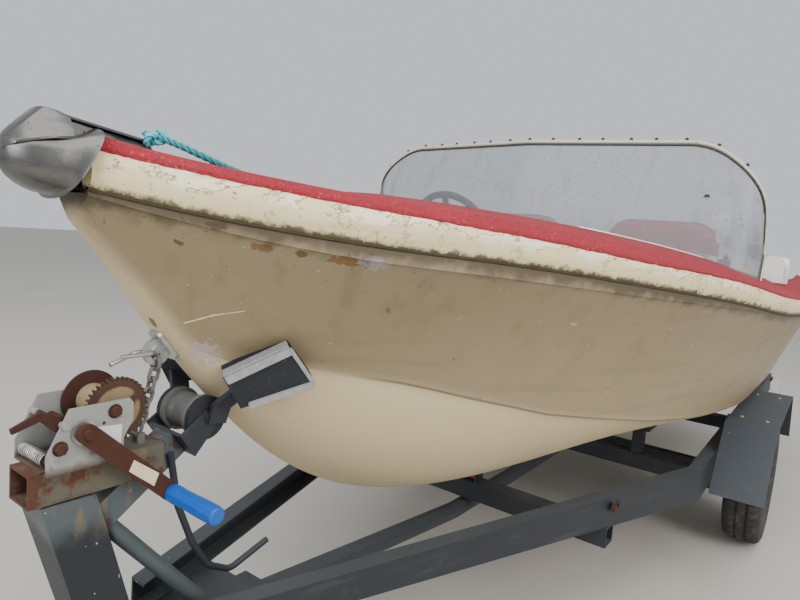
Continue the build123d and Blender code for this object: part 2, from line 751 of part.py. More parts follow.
# Cross-members under the rails, with the keel rollers' cheeks and the bunks' posts
with BuildPart() as cross_members:
    for y in CROSS_YS:
        top = min(rail_bottom(y - CROSS_WIDTH / 2), rail_bottom(y + CROSS_WIDTH / 2))
        reach = rail_line(y) - 4
        with BuildSketch(sideways(-reach)):
            with Locations((y, top - CROSS_DEPTH / 2)):
                Rectangle(CROSS_WIDTH, CROSS_DEPTH)
                Rectangle(CROSS_WIDTH - 8, CROSS_DEPTH - 8, mode=Mode.SUBTRACT)
        extrude(amount=2 * reach)
        if y == CROSS_YS[-1]:
            continue
        centre_z = station(y - BOW_Y)[1] - 2 * FIT_GAP - KEEL_ROLLER_RADIUS
        for x in (-KEEL_ROLLER_HALF - FIT_GAP - CHEEK, KEEL_ROLLER_HALF + FIT_GAP):
            with BuildSketch(sideways(x)):
                with BuildLine():
                    Polyline(
                        (y - 26, top - 1), (y + 26, top - 1), (y + 14, centre_z + 12),
                        (y - 14, centre_z + 12), close=True,
                    )
                make_face()
            extrude(amount=CHEEK)
        with BuildSketch(sideways(-KEEL_ROLLER_HALF - CHEEK)):
            with Locations((y, centre_z)):
                Circle(ROLLER_PIN)
        extrude(amount=2 * (KEEL_ROLLER_HALF + CHEEK))
    for y in CROSS_YS[1:]:
        with BuildSketch(Plane.XY.offset(RAIL_TOP - RAIL_DEPTH)):
            with Locations((BUNK_X, y), (-BUNK_X, y)):
                Rectangle(BUNK_POST, BUNK_POST)
                Rectangle(BUNK_POST - 8, BUNK_POST - 8, mode=Mode.SUBTRACT)
        extrude(amount=BUNK_LOW - RAIL_TOP + RAIL_DEPTH)
save(cross_members, "cross_members")

# Drawbar, nose plate and spine tube
drawbar_front = COUPLING_NOSE_Y + 125
drawbar_top = RAIL_TOP - RAIL_DEPTH_NOSE - NOSE_PLATE
with BuildPart() as drawbar:
    with BuildSketch(across(drawbar_front)):
        with Locations((0, drawbar_top - DRAWBAR / 2)):
            Rectangle(DRAWBAR, DRAWBAR)
            Rectangle(DRAWBAR - 8, DRAWBAR - 8, mode=Mode.SUBTRACT)
    extrude(amount=drawbar_front - DRAWBAR_REAR_Y)
    with BuildSketch(Plane.XY.offset(drawbar_top)):
        with BuildLine():
            Polyline(
                (-45, POST_FOOT_Y - 50), (45, POST_FOOT_Y - 50), (85, RAIL_NOSE_Y - 30),
                (165, RAIL_NOSE_Y + 190), (-165, RAIL_NOSE_Y + 190), (-85, RAIL_NOSE_Y - 30), close=True,
            )
        make_face()
    extrude(amount=NOSE_PLATE)
    add(rails.part, mode=Mode.SUBTRACT)
save(drawbar, "drawbar")
cross_low = RAIL_TOP - RAIL_DEPTH - CROSS_DEPTH
spine_r = SPINE_DIAMETER / 2
with BuildPart() as spine:
    with BuildLine() as spine_path:
        FilletPolyline(
            (0, DRAWBAR_REAR_Y, drawbar_top - DRAWBAR / 2), (0, CROSS_YS[0] - 60, cross_low - spine_r),
            (0, CROSS_YS[1] + 20, cross_low - spine_r), radius=300,
        )
    with BuildSketch(Plane(spine_path.line @ 0, z_dir=spine_path.line % 0)):
        Circle(spine_r)
    sweep()
save(spine, "spine_tube")

# Keel rollers on the cross-members
with BuildPart() as keel_rollers:
    for y in CROSS_YS[:-1]:
        with BuildSketch(sideways(-KEEL_ROLLER_HALF)):
            with Locations((y, station(y - BOW_Y)[1] - 2 * FIT_GAP - KEEL_ROLLER_RADIUS)):
                Circle(KEEL_ROLLER_RADIUS)
                Circle(ROLLER_PIN + SHAFT_GAP, mode=Mode.SUBTRACT)
        extrude(amount=2 * KEEL_ROLLER_HALF)
save(keel_rollers, "keel_rollers")

# Bunks: carpeted timbers shaped to the hull
hull_grown = hull_block(hull_rows, -FIT_GAP)
with BuildPart() as bunks:
    for sign in (1, -1):
        with BuildSketch(Plane.XY.offset(BUNK_LOW)):
            with Locations((sign * BUNK_X, (BUNK_FRONT_Y + BUNK_REAR_Y) / 2)):
                Rectangle(BUNK_WIDTH, BUNK_REAR_Y - BUNK_FRONT_Y)
        extrude(amount=90)
    add(hull_grown, mode=Mode.SUBTRACT)
    with BuildSketch(Plane.XY.offset(BUNK_LOW + BUNK_DEPTH)):
        with Locations((0, (BUNK_FRONT_Y + BUNK_REAR_Y) / 2)):
            Rectangle(2 * BUNK_X + 200, 2 * (BUNK_REAR_Y - BUNK_FRONT_Y))
    extrude(amount=60, mode=Mode.SUBTRACT)
save(bunks, "bunks")

# Axle, leaf springs and hangers
with BuildPart() as axle:
    with BuildSketch(sideways(-RAIL_X - 8)):
        with Locations((AXLE_Y, AXLE_Z)):
            Rectangle(AXLE_BAR, AXLE_BAR)
    extrude(amount=2 * RAIL_X + 16)
    with BuildSketch(sideways(-TRACK_HALF - 28)):
        with Locations((AXLE_Y, AXLE_Z)):
            Circle(STUB_RADIUS)
    extrude(amount=2 * TRACK_HALF + 56)
save(axle, "axle")
spring_low = AXLE_Z + AXLE_BAR / 2
spring_rise = 26.0
spring_x = RAIL_X - RAIL_WIDTH / 2
with BuildPart() as springs:
    for sign in (1, -1):
        for leaf, (half, low, rise) in enumerate(((SPRING_HALF, 14, spring_rise), (170, 7, 9), (95, 0, 1))):
            with BuildSketch(sideways(sign * spring_x - SPRING_WIDTH / 2)):
                z0 = spring_low + low
                with BuildLine():
                    ThreePointArc((AXLE_Y - half, z0 + rise), (AXLE_Y, z0), (AXLE_Y + half, z0 + rise))
                    Line((AXLE_Y + half, z0 + rise), (AXLE_Y + half, z0 + rise + 7))
                    ThreePointArc((AXLE_Y + half, z0 + rise + 7), (AXLE_Y, z0 + 7), (AXLE_Y - half, z0 + rise + 7))
                    Line((AXLE_Y - half, z0 + rise + 7), (AXLE_Y - half, z0 + rise))
                make_face()
            extrude(amount=SPRING_WIDTH)
save(springs, "leaf_springs")
with BuildPart() as hangers:
    for sign in (1, -1):
        for y in (AXLE_Y - SPRING_HALF, AXLE_Y + SPRING_HALF):
            out = 1 if y > AXLE_Y else -1
            low = spring_low + 14 + spring_rise
            for x in (sign * spring_x - SPRING_WIDTH / 2 - 4, sign * spring_x + SPRING_WIDTH / 2):
                with BuildSketch(sideways(x)):
                    with Locations((y, (low - 16 + RAIL_TOP - RAIL_DEPTH) / 2)):
                        Rectangle(50, RAIL_TOP - RAIL_DEPTH - low + 16)
                extrude(amount=4)
            with BuildSketch(sideways(sign * spring_x - SPRING_WIDTH / 2)):
                with Locations((y + out * 12, low + 3)):
                    Circle(11)
            extrude(amount=SPRING_WIDTH)
            with BuildSketch(Plane.XY.offset(RAIL_TOP - RAIL_DEPTH - 4)):
                with Locations((sign * spring_x, y)):
                    Rectangle(SPRING_WIDTH + 8, 50)
            extrude(amount=4)
    add(springs.part, mode=Mode.SUBTRACT)
save(hangers, "spring_hangers")

# Road wheels: tyre and rim with hub
for side, sign in (("port", 1), ("starboard", -1)):
    centre = (sign * TRACK_HALF, AXLE_Y, AXLE_Z)
    wheel_axis = Axis(centre, (1, 0, 0))
    half = TYRE_WIDTH / 2
    bead = TYRE_WIDTH / 2 - 18
    shoulder, tread = TYRE_RADIUS - 22, TYRE_RADIUS - 2
    wall_mid = (RIM_RADIUS + TYRE_RADIUS) / 2
    with BuildPart() as tyre:
        with BuildSketch(Plane(origin=centre, x_dir=(1, 0, 0), z_dir=(0, -1, 0))):
            with BuildLine():
                Polyline(
                    (-bead, RIM_RADIUS + BEAD_LIP), (-bead, RIM_RADIUS), (bead, RIM_RADIUS),
                    (bead, RIM_RADIUS + BEAD_LIP),
                )
                ThreePointArc((bead, RIM_RADIUS + BEAD_LIP), (half, wall_mid), (half - 8, shoulder))
                ThreePointArc((half - 8, shoulder), (half - 13, shoulder + 13), (half - 24, tread))
                ThreePointArc((half - 24, tread), (0, TYRE_RADIUS), (24 - half, tread))
                ThreePointArc((24 - half, tread), (13 - half, shoulder + 13), (8 - half, shoulder))
                ThreePointArc((8 - half, shoulder), (-half, wall_mid), (-bead, RIM_RADIUS + BEAD_LIP))
            make_face()
        revolve(axis=wheel_axis)
    save(tyre, f"tyre_{side}")
    lip, seat, bore = RIM_RADIUS + BEAD_LIP - 4, RIM_RADIUS - FIT_GAP, STUB_RADIUS + SHAFT_GAP
    with BuildPart() as rim:
        with BuildSketch(Plane(origin=centre, x_dir=(sign, 0, 0), z_dir=(0, -sign, 0))):
            with BuildLine():
                Polyline(
                    (-bead - 4, lip), (-bead - FIT_GAP, lip), (-bead - FIT_GAP, seat), (-36, seat),
                    (-27, seat - 16), (12, seat - 16), (22, seat), (bead + FIT_GAP, seat),
                    (bead + FIT_GAP, lip), (bead + 4, lip), (bead + 4, seat - 4), (24, seat - 4),
                    (14, seat - 20), (12, 78), (18, 62), (18, 42), (30, 38), (44, 28), (44, 0), (34, 0),
                    (34, bore), (-38, bore), (-38, 34), (4, 40), (12, 54), (12, 60), (6, 78),
                    (6, seat - 20), (-29, seat - 20), (-38, seat - 4), (-bead - 4, seat - 4), close=True,
                )
            make_face()
        revolve(axis=wheel_axis)
    save(rim, f"rim_{side}")

# Mudguards: bent sheet with a lipped outer edge, and their straps from the rail
guard_line = [
    (AXLE_Y - GUARD_TOP_HALF - GUARD_END_OUT, GUARD_END_Z), (AXLE_Y - GUARD_TOP_HALF, GUARD_TOP),
    (AXLE_Y + GUARD_TOP_HALF, GUARD_TOP), (AXLE_Y + GUARD_TOP_HALF + GUARD_END_OUT, GUARD_END_Z),
]
with BuildPart() as guards:
    with BuildSketch(sideways(GUARD_INNER_X)):
        with BuildLine():
            Polyline(*guard_line)
            offset(amount=GUARD_SHEET, side=Side.RIGHT)
        make_face()
    extrude(amount=GUARD_OUTER_X - GUARD_INNER_X)
    mirror(about=Plane.YZ)
save(guards, "mudguards")
strap_top = GUARD_TOP - GUARD_SHEET
with BuildPart() as straps:
    for y in (AXLE_Y - STRAP_SPREAD, AXLE_Y + STRAP_SPREAD):
        with BuildSketch(across(y - STRAP_WIDTH / 2)):
            with BuildLine():
                Polyline(
                    (RAIL_X, RAIL_TOP - 70), (RAIL_X, strap_top), (RAIL_X + 90, strap_top),
                    (RAIL_X + 90, strap_top - 5), (RAIL_X + 5, strap_top - 5), (RAIL_X + 5, RAIL_TOP - 70),
                    close=True,
                )
            make_face()
        extrude(amount=-STRAP_WIDTH)
    mirror(about=Plane.YZ)
save(straps, "guard_straps")

# Winch post raked forward, with the short base tube across its head
post_run = math.tan(math.radians(POST_RAKE))
post_foot_z = RAIL_TOP - RAIL_DEPTH_NOSE
base_low = BASE_TOP - BASE_TUBE


def post_bar(half, half_x):
    """Raked bar of the winch post from its foot to the base tube."""
    with BuildPart() as bar:
        with BuildSketch(sideways(-half_x)):
            with BuildLine():
                shift = post_run * (base_low - post_foot_z)
                Polyline(
                    (POST_FOOT_Y - half, post_foot_z), (POST_FOOT_Y + half, post_foot_z),
                    (POST_FOOT_Y + half - shift, base_low), (POST_FOOT_Y - half - shift, base_low),
                    close=True,
                )
            make_face()
        extrude(amount=2 * half_x)
    return bar.part


def side_bar(start, end, half, half_x):
    """Straight bar in the centre plane between two (Y, Z) points."""
    run, rise = end[0] - start[0], end[1] - start[1]
    length = math.hypot(run, rise)
    dy, dz = -rise / length * half, run / length * half
    with BuildPart() as bar:
        with BuildSketch(sideways(-half_x)):
            with BuildLine():
                Polyline(
                    (start[0] + dy, start[1] + dz), (end[0] + dy, end[1] + dz),
                    (end[0] - dy, end[1] - dz), (start[0] - dy, start[1] - dz), close=True,
                )
            make_face()
        extrude(amount=2 * half_x)
    return bar.part


post_outer = post_bar(POST / 2 + 1.5, POST / 2)
with BuildPart() as winch_base:
    with BuildSketch(across(BASE_FRONT_Y)):
        with Locations((0, BASE_TOP - BASE_TUBE / 2)):
            Rectangle(BASE_TUBE + 10, BASE_TUBE)
            Rectangle(BASE_TUBE + 2, BASE_TUBE - 8, mode=Mode.SUBTRACT)
    extrude(amount=BASE_FRONT_Y - BASE_REAR_Y)
save(winch_base, "winch_base")

# Arm from the post up to the bow roller, with the round brace and the bent rod under it
arm_start, arm_end = (DRUM_Y - 25, 612.0), (ROLLER_Y - 39, ROLLER_Z - 40.5)
with BuildPart() as bow_arm:
    add(side_bar(arm_start, arm_end, ARM_TUBE / 2, ARM_TUBE / 2))
    add(side_bar((arm_start[0] - 60, arm_start[1] - 42.5), (arm_end[0] + 60, arm_end[1] + 42.5),
                 ARM_TUBE / 2 - 3, ARM_TUBE / 2 - 3), mode=Mode.SUBTRACT)
    add(post_outer, mode=Mode.SUBTRACT)
with BuildPart() as brace:
    foot = Vector(0, -1262, 389)
    head = Vector(0, -1470, 631)
    with BuildSketch(Plane(foot, z_dir=head - foot)):
        Circle(BRACE_RADIUS)
    extrude(amount=(head - foot).length)
    extrude(brace.faces().sort_by(Axis.Z)[0], amount=40)
    split(bisect_by=Plane.XY.offset(post_foot_z), keep=Keep.TOP)
    add(post_outer, mode=Mode.SUBTRACT)
with BuildPart() as winch_post:
    add(post_outer)
    add(post_bar(POST / 2 - 2.5, POST / 2 - 4), mode=Mode.SUBTRACT)
    add(bow_arm.part)
    add(brace.part)
    with BuildSketch(across(BASE_FRONT_Y)):
        with Locations((0, BASE_TOP - BASE_TUBE / 2)):
            Rectangle(BASE_TUBE + 10, BASE_TUBE)
    extrude(amount=BASE_FRONT_Y - BASE_REAR_Y, mode=Mode.SUBTRACT)
save(winch_post, "winch_post")
with BuildPart() as bent_rod:
    with BuildLine() as rod_path:
        FilletPolyline(*[(ARM_TUBE / 2 + ROD_RADIUS - 0.5, y, z) for y, z in BENT_ROD], radius=30)
    with BuildSketch(Plane(rod_path.line @ 0, z_dir=rod_path.line % 0)):
        Circle(ROD_RADIUS)
    sweep()
    add(bow_arm.part, mode=Mode.SUBTRACT)
save(bent_rod, "bent_rod")

# Bow roller in its fork
with BuildPart() as bow_roller:
    with BuildSketch(sideways(-ROLLER_LENGTH / 2)):
        with Locations((ROLLER_Y, ROLLER_Z)):
            Circle(ROLLER_RADIUS)
            Circle(ROLLER_PIN + SHAFT_GAP, mode=Mode.SUBTRACT)
    extrude(amount=ROLLER_LENGTH)
    with BuildSketch(sideways(-ROLLER_LENGTH / 2 + 18)):
        with Locations((ROLLER_Y, ROLLER_Z)):
            Circle(ROLLER_RADIUS + 5)
            Circle(ROLLER_RADIUS - 6, mode=Mode.SUBTRACT)
    extrude(amount=ROLLER_LENGTH - 36, mode=Mode.SUBTRACT)
save(bow_roller, "bow_roller")
fork_x = ROLLER_LENGTH / 2 + 1
with BuildPart() as roller_fork:
    for x in (-fork_x - FORK_PLATE, fork_x):
        with BuildSketch(sideways(x)):
            with BuildLine():
                Polyline(
                    (arm_end[0] - 16, arm_end[1] + 22), (arm_end[0] + 14, arm_end[1] - 20),
                    (ROLLER_Y + 12, ROLLER_Z - 18), (ROLLER_Y + 14, ROLLER_Z + 8),
                    (ROLLER_Y - 4, ROLLER_Z + 14), (ROLLER_Y - 14, ROLLER_Z + 8), close=True,
                )
            make_face()
        extrude(amount=FORK_PLATE)
    add(side_bar(arm_end, (arm_end[0] + 5, arm_end[1] + 3.5), ARM_TUBE / 2, fork_x + 1))
    with BuildSketch(sideways(-fork_x - FORK_PLATE - 3)):
        with Locations((ROLLER_Y, ROLLER_Z)):
            Circle(ROLLER_PIN)
    extrude(amount=2 * (fork_x + FORK_PLATE + 3))
    add(bow_arm.part, mode=Mode.SUBTRACT)

# Bow pads: rubber slabs that follow the bow's flare, each on an arm from the roller's pin
pad_plane = Plane(origin=PAD_CORNERS[0], x_dir=Vector(*PAD_CORNERS[1]) - Vector(*PAD_CORNERS[0]),
                  z_dir=PAD_OUTWARD)
bow_grown = hull_block(hull_rows[BOW_ROWS], -FIT_GAP)
with BuildPart() as pad_port:
    with BuildSketch(pad_plane.offset(-PAD_SINK)):
        with BuildLine():
            corners = [pad_plane.to_local_coords(Vector(*corner)) for corner in PAD_CORNERS]
            Polyline(*[(corner.X, corner.Y) for corner in corners], close=True)
        make_face()
    extrude(amount=PAD_SINK + PAD_THICKNESS)
    add(bow_grown, mode=Mode.SUBTRACT)
with BuildPart() as pad_arm_port:
    with BuildLine() as arm_path:
        FilletPolyline(*PAD_ARM, radius=14)
    with BuildSketch(Plane(arm_path.line @ 0, x_dir=(1, 0, 0), z_dir=arm_path.line % 0)):
        Rectangle(*PAD_ARM_SIZE)
    sweep()
    add(bow_grown, mode=Mode.SUBTRACT)
    add(pad_port.part, mode=Mode.SUBTRACT)
with BuildPart() as bow_pads:
    add(pad_port.part)
    mirror(about=Plane.YZ)
save(bow_pads, "bow_pads")
with BuildPart() as bow_fork:
    add(pad_arm_port.part)
    mirror(about=Plane.YZ)
    add(roller_fork.part)
save(bow_fork, "bow_fork")

# Winch: side plates with the drum's pin and spacer rods, drum, crank and grip
plate_profile = [
    (DRUM_Y - 76, DRUM_Z + 18), (DRUM_Y + 12, DRUM_Z + 19), (DRUM_Y + 18, DRUM_Z + 11),
    (DRUM_Y + 18, DRUM_Z - 15), (DRUM_Y + 4, DRUM_Z - 40), (DRUM_Y + 4, BASE_TOP),
    (DRUM_Y - 106, BASE_TOP), (DRUM_Y - 106, BASE_TOP + 29),
]
gear_radius = GEAR_MODULE * GEAR_TEETH / 2
pinion_radius = GEAR_MODULE * PINION_TEETH / 2
shaft_y = DRUM_Y - math.sqrt((gear_radius + pinion_radius) ** 2 - CRANK_DROP**2)
shaft_z = DRUM_Z - CRANK_DROP
with BuildPart() as winch_frame:
    for x in (-PLATE_X, PLATE_X - PLATE_THICKNESS):
        with BuildSketch(sideways(x)):
            with BuildLine():
                Polyline(*plate_profile, close=True)
            make_face()
            with Locations((shaft_y, shaft_z)):
                Circle(SHAFT_RADIUS + SHAFT_GAP, mode=Mode.SUBTRACT)
        extrude(amount=PLATE_THICKNESS)
    with BuildSketch(Plane.XY.offset(BASE_TOP)):
        with Locations((0, DRUM_Y - 51)):
            Rectangle(2 * PLATE_X, 110)
    extrude(amount=PLATE_THICKNESS)
    for y, z, radius in SPACERS:
        with BuildSketch(sideways(-PLATE_X - 4)):
            with Locations((y, z)):
                Circle(radius)
        extrude(amount=2 * PLATE_X + 8)
    with BuildSketch(sideways(PAWL_X)):
        with BuildLine():
            Polyline(*PAWL_PROFILE, close=True)
        make_face()
    extrude(amount=6)
save(winch_frame, "winch_frame")


def toothed_disc(teeth, turn):
    """Outline of a spur gear about the local origin."""
    pitch = GEAR_MODULE * teeth / 2
    with BuildSketch() as disc:
        Circle(pitch - 1.25 * GEAR_MODULE)
        with PolarLocations(0, teeth, start_angle=turn):
            Polygon(
                (pitch - 1.5 * GEAR_MODULE, -0.95 * GEAR_MODULE), (pitch, -0.72 * GEAR_MODULE),
                (pitch + 0.9 * GEAR_MODULE, -0.35 * GEAR_MODULE),
                (pitch + 0.9 * GEAR_MODULE, 0.35 * GEAR_MODULE), (pitch, 0.72 * GEAR_MODULE),
                (pitch - 1.5 * GEAR_MODULE, 0.95 * GEAR_MODULE), align=None,
            )
    return disc.sketch


mesh_angle = math.degrees(math.atan2(shaft_z - DRUM_Z, shaft_y - DRUM_Y))
with BuildPart() as winch_drum:
    for x, radius, width in (
        (-PLATE_X + 6, FLANGE_RADIUS, 4), (-PLATE_X + 6, DRUM_RADIUS, GEAR_X + PLATE_X - 6),
        (GEAR_X - 4, DRUM_RADIUS + 6, 4),
    ):
        with BuildSketch(sideways(x)):
            with Locations((DRUM_Y, DRUM_Z)):
                Circle(radius)
        extrude(amount=width)
    with BuildSketch(sideways(GEAR_X)):
        with Locations((DRUM_Y, DRUM_Z)):
            add(toothed_disc(GEAR_TEETH, mesh_angle + 180 / GEAR_TEETH))
    extrude(amount=GEAR_FACE)
    with BuildSketch(sideways(-PLATE_X)):
        with Locations((DRUM_Y, DRUM_Z)):
            Circle(DRUM_PIN + SHAFT_GAP)
    extrude(amount=2 * PLATE_X, mode=Mode.SUBTRACT)
save(winch_drum, "winch_drum")
crank_turn = math.radians(CRANK_ANGLE)
grip_y = shaft_y + CRANK_LENGTH * math.cos(crank_turn)
grip_z = shaft_z + CRANK_LENGTH * math.sin(crank_turn)
with BuildPart() as winch_crank:
    with BuildSketch(sideways(-PLATE_X - 5)):
        with Locations((shaft_y, shaft_z)):
            Circle(SHAFT_RADIUS)
    extrude(amount=CRANK_X + CRANK_PLATE + PLATE_X + 10)
    with BuildSketch(sideways(GEAR_X - 1)):
        with Locations((shaft_y, shaft_z)):
            add(toothed_disc(PINION_TEETH, mesh_angle + 180))
    extrude(amount=GEAR_FACE + 2)
    with BuildSketch(sideways(PLATE_X + 2)):
        with Locations((shaft_y, shaft_z)):
            Circle(SHAFT_RADIUS + 6)
    extrude(amount=CRANK_X - PLATE_X - 2)
    with BuildSketch(sideways(CRANK_X)):
        with Locations(Location(((shaft_y + grip_y) / 2, (shaft_z + grip_z) / 2), CRANK_ANGLE)):
            SlotCenterToCenter(CRANK_LENGTH, 2 * GRIP_RADIUS)
    extrude(amount=CRANK_PLATE)
    for x, radius, width in ((CRANK_X + 1, GRIP_PIN, GRIP_LENGTH + CRANK_PLATE + 3),
                             (CRANK_X + CRANK_PLATE + GRIP_LENGTH + 1, GRIP_PIN + 4, 2)):
        with BuildSketch(sideways(x)):
            with Locations((grip_y, grip_z)):
                Circle(radius)
        extrude(amount=width)
save(winch_crank, "winch_crank")
with BuildPart() as winch_grip:
    with BuildSketch(sideways(CRANK_X + CRANK_PLATE + FIT_GAP)):
        with Locations((grip_y, grip_z)):
            Circle(GRIP_RADIUS)
            Circle(GRIP_PIN + SHAFT_GAP, mode=Mode.SUBTRACT)
    extrude(amount=GRIP_LENGTH)
save(winch_grip, "winch_grip")

# Bow eye on the stem, the shackle and chain below it, and the winch's hook
stem_cut = hull_outer.intersect(Edge.make_line((0, STEM_EYE_Y, 0), (0, STEM_EYE_Y, SHEER_AFT_Z)))
stem_point = min((corner.center() for corner in stem_cut.vertices()), key=lambda spot: spot.Z)
eye_centre = stem_point + Vector(0, *EYE_OUTWARD) * EYE_REACH
with BuildPart() as bow_eye:
    with BuildSketch(sideways(-EYE_THICKNESS / 2)):
        with Locations((eye_centre.Y, eye_centre.Z)):
            Circle(EYE_RADIUS)
            Circle(EYE_BORE, mode=Mode.SUBTRACT)
    extrude(amount=EYE_THICKNESS)
    with BuildSketch(Plane(stem_point, x_dir=(1, 0, 0), z_dir=(0, *EYE_OUTWARD)).offset(-12)):
        RectangleRounded(2 * EYE_FLANGE[0], 2 * EYE_FLANGE[1], 8)
    extrude(amount=18)
    add(bow_grown, mode=Mode.SUBTRACT)
save(bow_eye, "bow_eye")


def wire_ring(centre, axis, radius, wire):
    """Closed round ring of wire, radius measured to the wire's middle."""
    centre, axis = Vector(*centre), Vector(*axis).normalized()
    out = Vector(1, 0, 0) if abs(axis.X) < 0.5 else Vector(0, 0, 1)
    with BuildPart() as ring:
        with BuildSketch(Plane(centre + out * radius, x_dir=out, z_dir=axis.cross(out))):
            Circle(wire)
        revolve(axis=Axis(centre, axis))
    return ring.part


def chain_link(centre, along, width):
    """One oval link: its length runs along one direction, its width along another."""
    centre, along, width = Vector(*centre), Vector(*along).normalized(), Vector(*width).normalized()
    half = LINK_HALF_WIDTH
    straight = LINK_INNER / 2 + LINK_WIRE - half
    with BuildPart() as link:
        with BuildLine(Plane(centre, x_dir=along, z_dir=along.cross(width))) as loop:
            ThreePointArc((straight, half), (straight + half, 0), (straight, -half))
            Line((straight, -half), (-straight, -half))
            ThreePointArc((-straight, -half), (-straight - half, 0), (-straight, half))
            Line((-straight, half), (straight, half))
        with BuildSketch(Plane(loop.line @ 0, z_dir=loop.line % 0)):
            Circle(LINK_WIRE)
        sweep()
    return link.part


rim_middle = (EYE_RADIUS + EYE_BORE) / 2
shackle_centre = eye_centre - Vector(0, 0, rim_middle)
chain_top = shackle_centre - Vector(0, 0, SHACKLE_RADIUS)
chain_foot = Vector(0, CHAIN_FOOT_Y, BASE_TOP + LINK_WIRE)
chain_run = chain_foot - chain_top
link_pitch = LINK_INNER - FIT_GAP
link_count = round((chain_run.length - LINK_INNER / 2) / link_pitch)
down_chain = chain_run.normalized()
with BuildPart() as bow_chain:
    add(wire_ring(shackle_centre, (0, 1, 0), SHACKLE_RADIUS, LINK_WIRE + 0.5))
    first = chain_top + down_chain * (LINK_INNER / 2 - 0.5 - FIT_GAP)
    for k in range(link_count):
        width = (0, -down_chain.Z, down_chain.Y) if k % 2 == 0 else (1, 0, 0)
        add(chain_link(first + down_chain * (link_pitch * k), down_chain, width))
    last = first + down_chain * (link_pitch * (link_count - 1) + LINK_INNER / 2)
    staple_top = last.Z + LINK_WIRE
    with BuildSketch(sideways(-9)):
        with Locations((last.Y, last.Z - FIT_GAP)):
            Circle(LINK_WIRE - FIT_GAP)
    extrude(amount=18)
    with BuildSketch(Plane.XY.offset(BASE_TOP)):
        with Locations((-10.5, last.Y), (10.5, last.Y)):
            Rectangle(4, 12)
    extrude(amount=staple_top - BASE_TOP)
save(bow_chain, "bow_chain")

hook_centre = eye_centre + Vector(0, -rim_middle, 0)
hook_radius = SHACKLE_RADIUS - 2
with BuildPart() as winch_hook:
    with BuildLine() as hook_path:
        FilletPolyline(
            (hook_radius, HOOK_END_Y, hook_centre.Z), (hook_radius, hook_centre.Y + hook_radius, hook_centre.Z),
            (-hook_radius, hook_centre.Y + hook_radius, hook_centre.Z),
            (-hook_radius, hook_centre.Y - 12, hook_centre.Z), (-hook_radius, HOOK_END_Y - 6, hook_centre.Z - HOOK_DROP),
            radius=8,
        )
    with BuildSketch(Plane(hook_path.line @ 0, z_dir=hook_path.line % 0)):
        Circle(HOOK_WIRE)
    sweep()
save(winch_hook, "winch_hook")

# Ball coupling on the drawbar's nose
socket_y = COUPLING_NOSE_Y + BALL_RADIUS + SOCKET_WALL
with BuildPart() as coupling:
    with BuildSketch(sideways(-COUPLING_WIDTH / 2)):
        with BuildLine():
            Polyline(
                (socket_y, SOCKET_Z - 8), (socket_y, SOCKET_Z + 28), (drawbar_front - 10, drawbar_top + 24),
                (drawbar_front + 130, drawbar_top + 10), (drawbar_front + 130, drawbar_top),
                (drawbar_front, drawbar_top), (drawbar_front, drawbar_top - 30), close=True,
            )
        make_face()
    extrude(amount=COUPLING_WIDTH)
    with BuildSketch(Plane.XY.offset(SOCKET_Z - 14)):
        with Locations((0, socket_y)):
            Circle(BALL_RADIUS + SOCKET_WALL)
    extrude(amount=14)
    with BuildSketch(Plane(origin=(0, socket_y, SOCKET_Z), x_dir=(1, 0, 0), z_dir=(0, -1, 0))):
        with BuildLine():
            Line((0, 0), (BALL_RADIUS + SOCKET_WALL, 0))
            RadiusArc((BALL_RADIUS + SOCKET_WALL, 0), (0, BALL_RADIUS + SOCKET_WALL), -BALL_RADIUS - SOCKET_WALL)
            Line((0, BALL_RADIUS + SOCKET_WALL), (0, 0))
        make_face()
    revolve(axis=Axis((0, socket_y, SOCKET_Z), (0, 0, 1)))
    with BuildSketch(Plane.XY.offset(SOCKET_Z - 20)):
        with Locations((0, socket_y)):
            Circle(BALL_RADIUS)
    extrude(amount=20, mode=Mode.SUBTRACT)
    with Locations((0, socket_y, SOCKET_Z)):
        Sphere(BALL_RADIUS, mode=Mode.SUBTRACT)
    with BuildSketch(sideways(-9)):
        with BuildLine():
            Polyline(
                (socket_y + 40, drawbar_top + 14), (socket_y + 62, drawbar_top + 14),
                (socket_y + 78, drawbar_top + 34), (socket_y + 175, drawbar_top + 46),
                (socket_y + 175, drawbar_top + 54), (socket_y + 66, drawbar_top + 44), close=True,
            )
        make_face()
    extrude(amount=18)
save(coupling, "coupling")

# Jockey wheel: clamped tube with its handle, sliding leg, swivelling fork and wheel
with BuildPart() as jockey_tube:
    with BuildSketch(Plane.XY.offset(JOCKEY_TUBE_LOW)):
        with Locations((JOCKEY_X, JOCKEY_Y)):
            Circle(JOCKEY_TUBE)
            Circle(JOCKEY_LEG + SHAFT_GAP, mode=Mode.SUBTRACT)
    extrude(amount=JOCKEY_TUBE_TOP - JOCKEY_TUBE_LOW)
    with BuildSketch(Plane.XY.offset(JOCKEY_TUBE_TOP)):
        with Locations((JOCKEY_X, JOCKEY_Y)):
            Circle(JOCKEY_TUBE + 2)
    extrude(amount=8)
    with BuildSketch(Plane.XY.offset(JOCKEY_TUBE_TOP + 8)):
        with Locations((JOCKEY_X, JOCKEY_Y)):
            Circle(9)
    extrude(amount=22)
    with BuildSketch(Plane.XY.offset(JOCKEY_TUBE_TOP + 22)):
        with Locations((JOCKEY_X, JOCKEY_Y - 48)):
            Rectangle(20, 116)
    extrude(amount=6)
    with BuildSketch(Plane.XY.offset(JOCKEY_TUBE_TOP + 28)):
        with Locations((JOCKEY_X, JOCKEY_Y - 94)):
            Circle(11)
    extrude(amount=62)
save(jockey_tube, "jockey_tube")
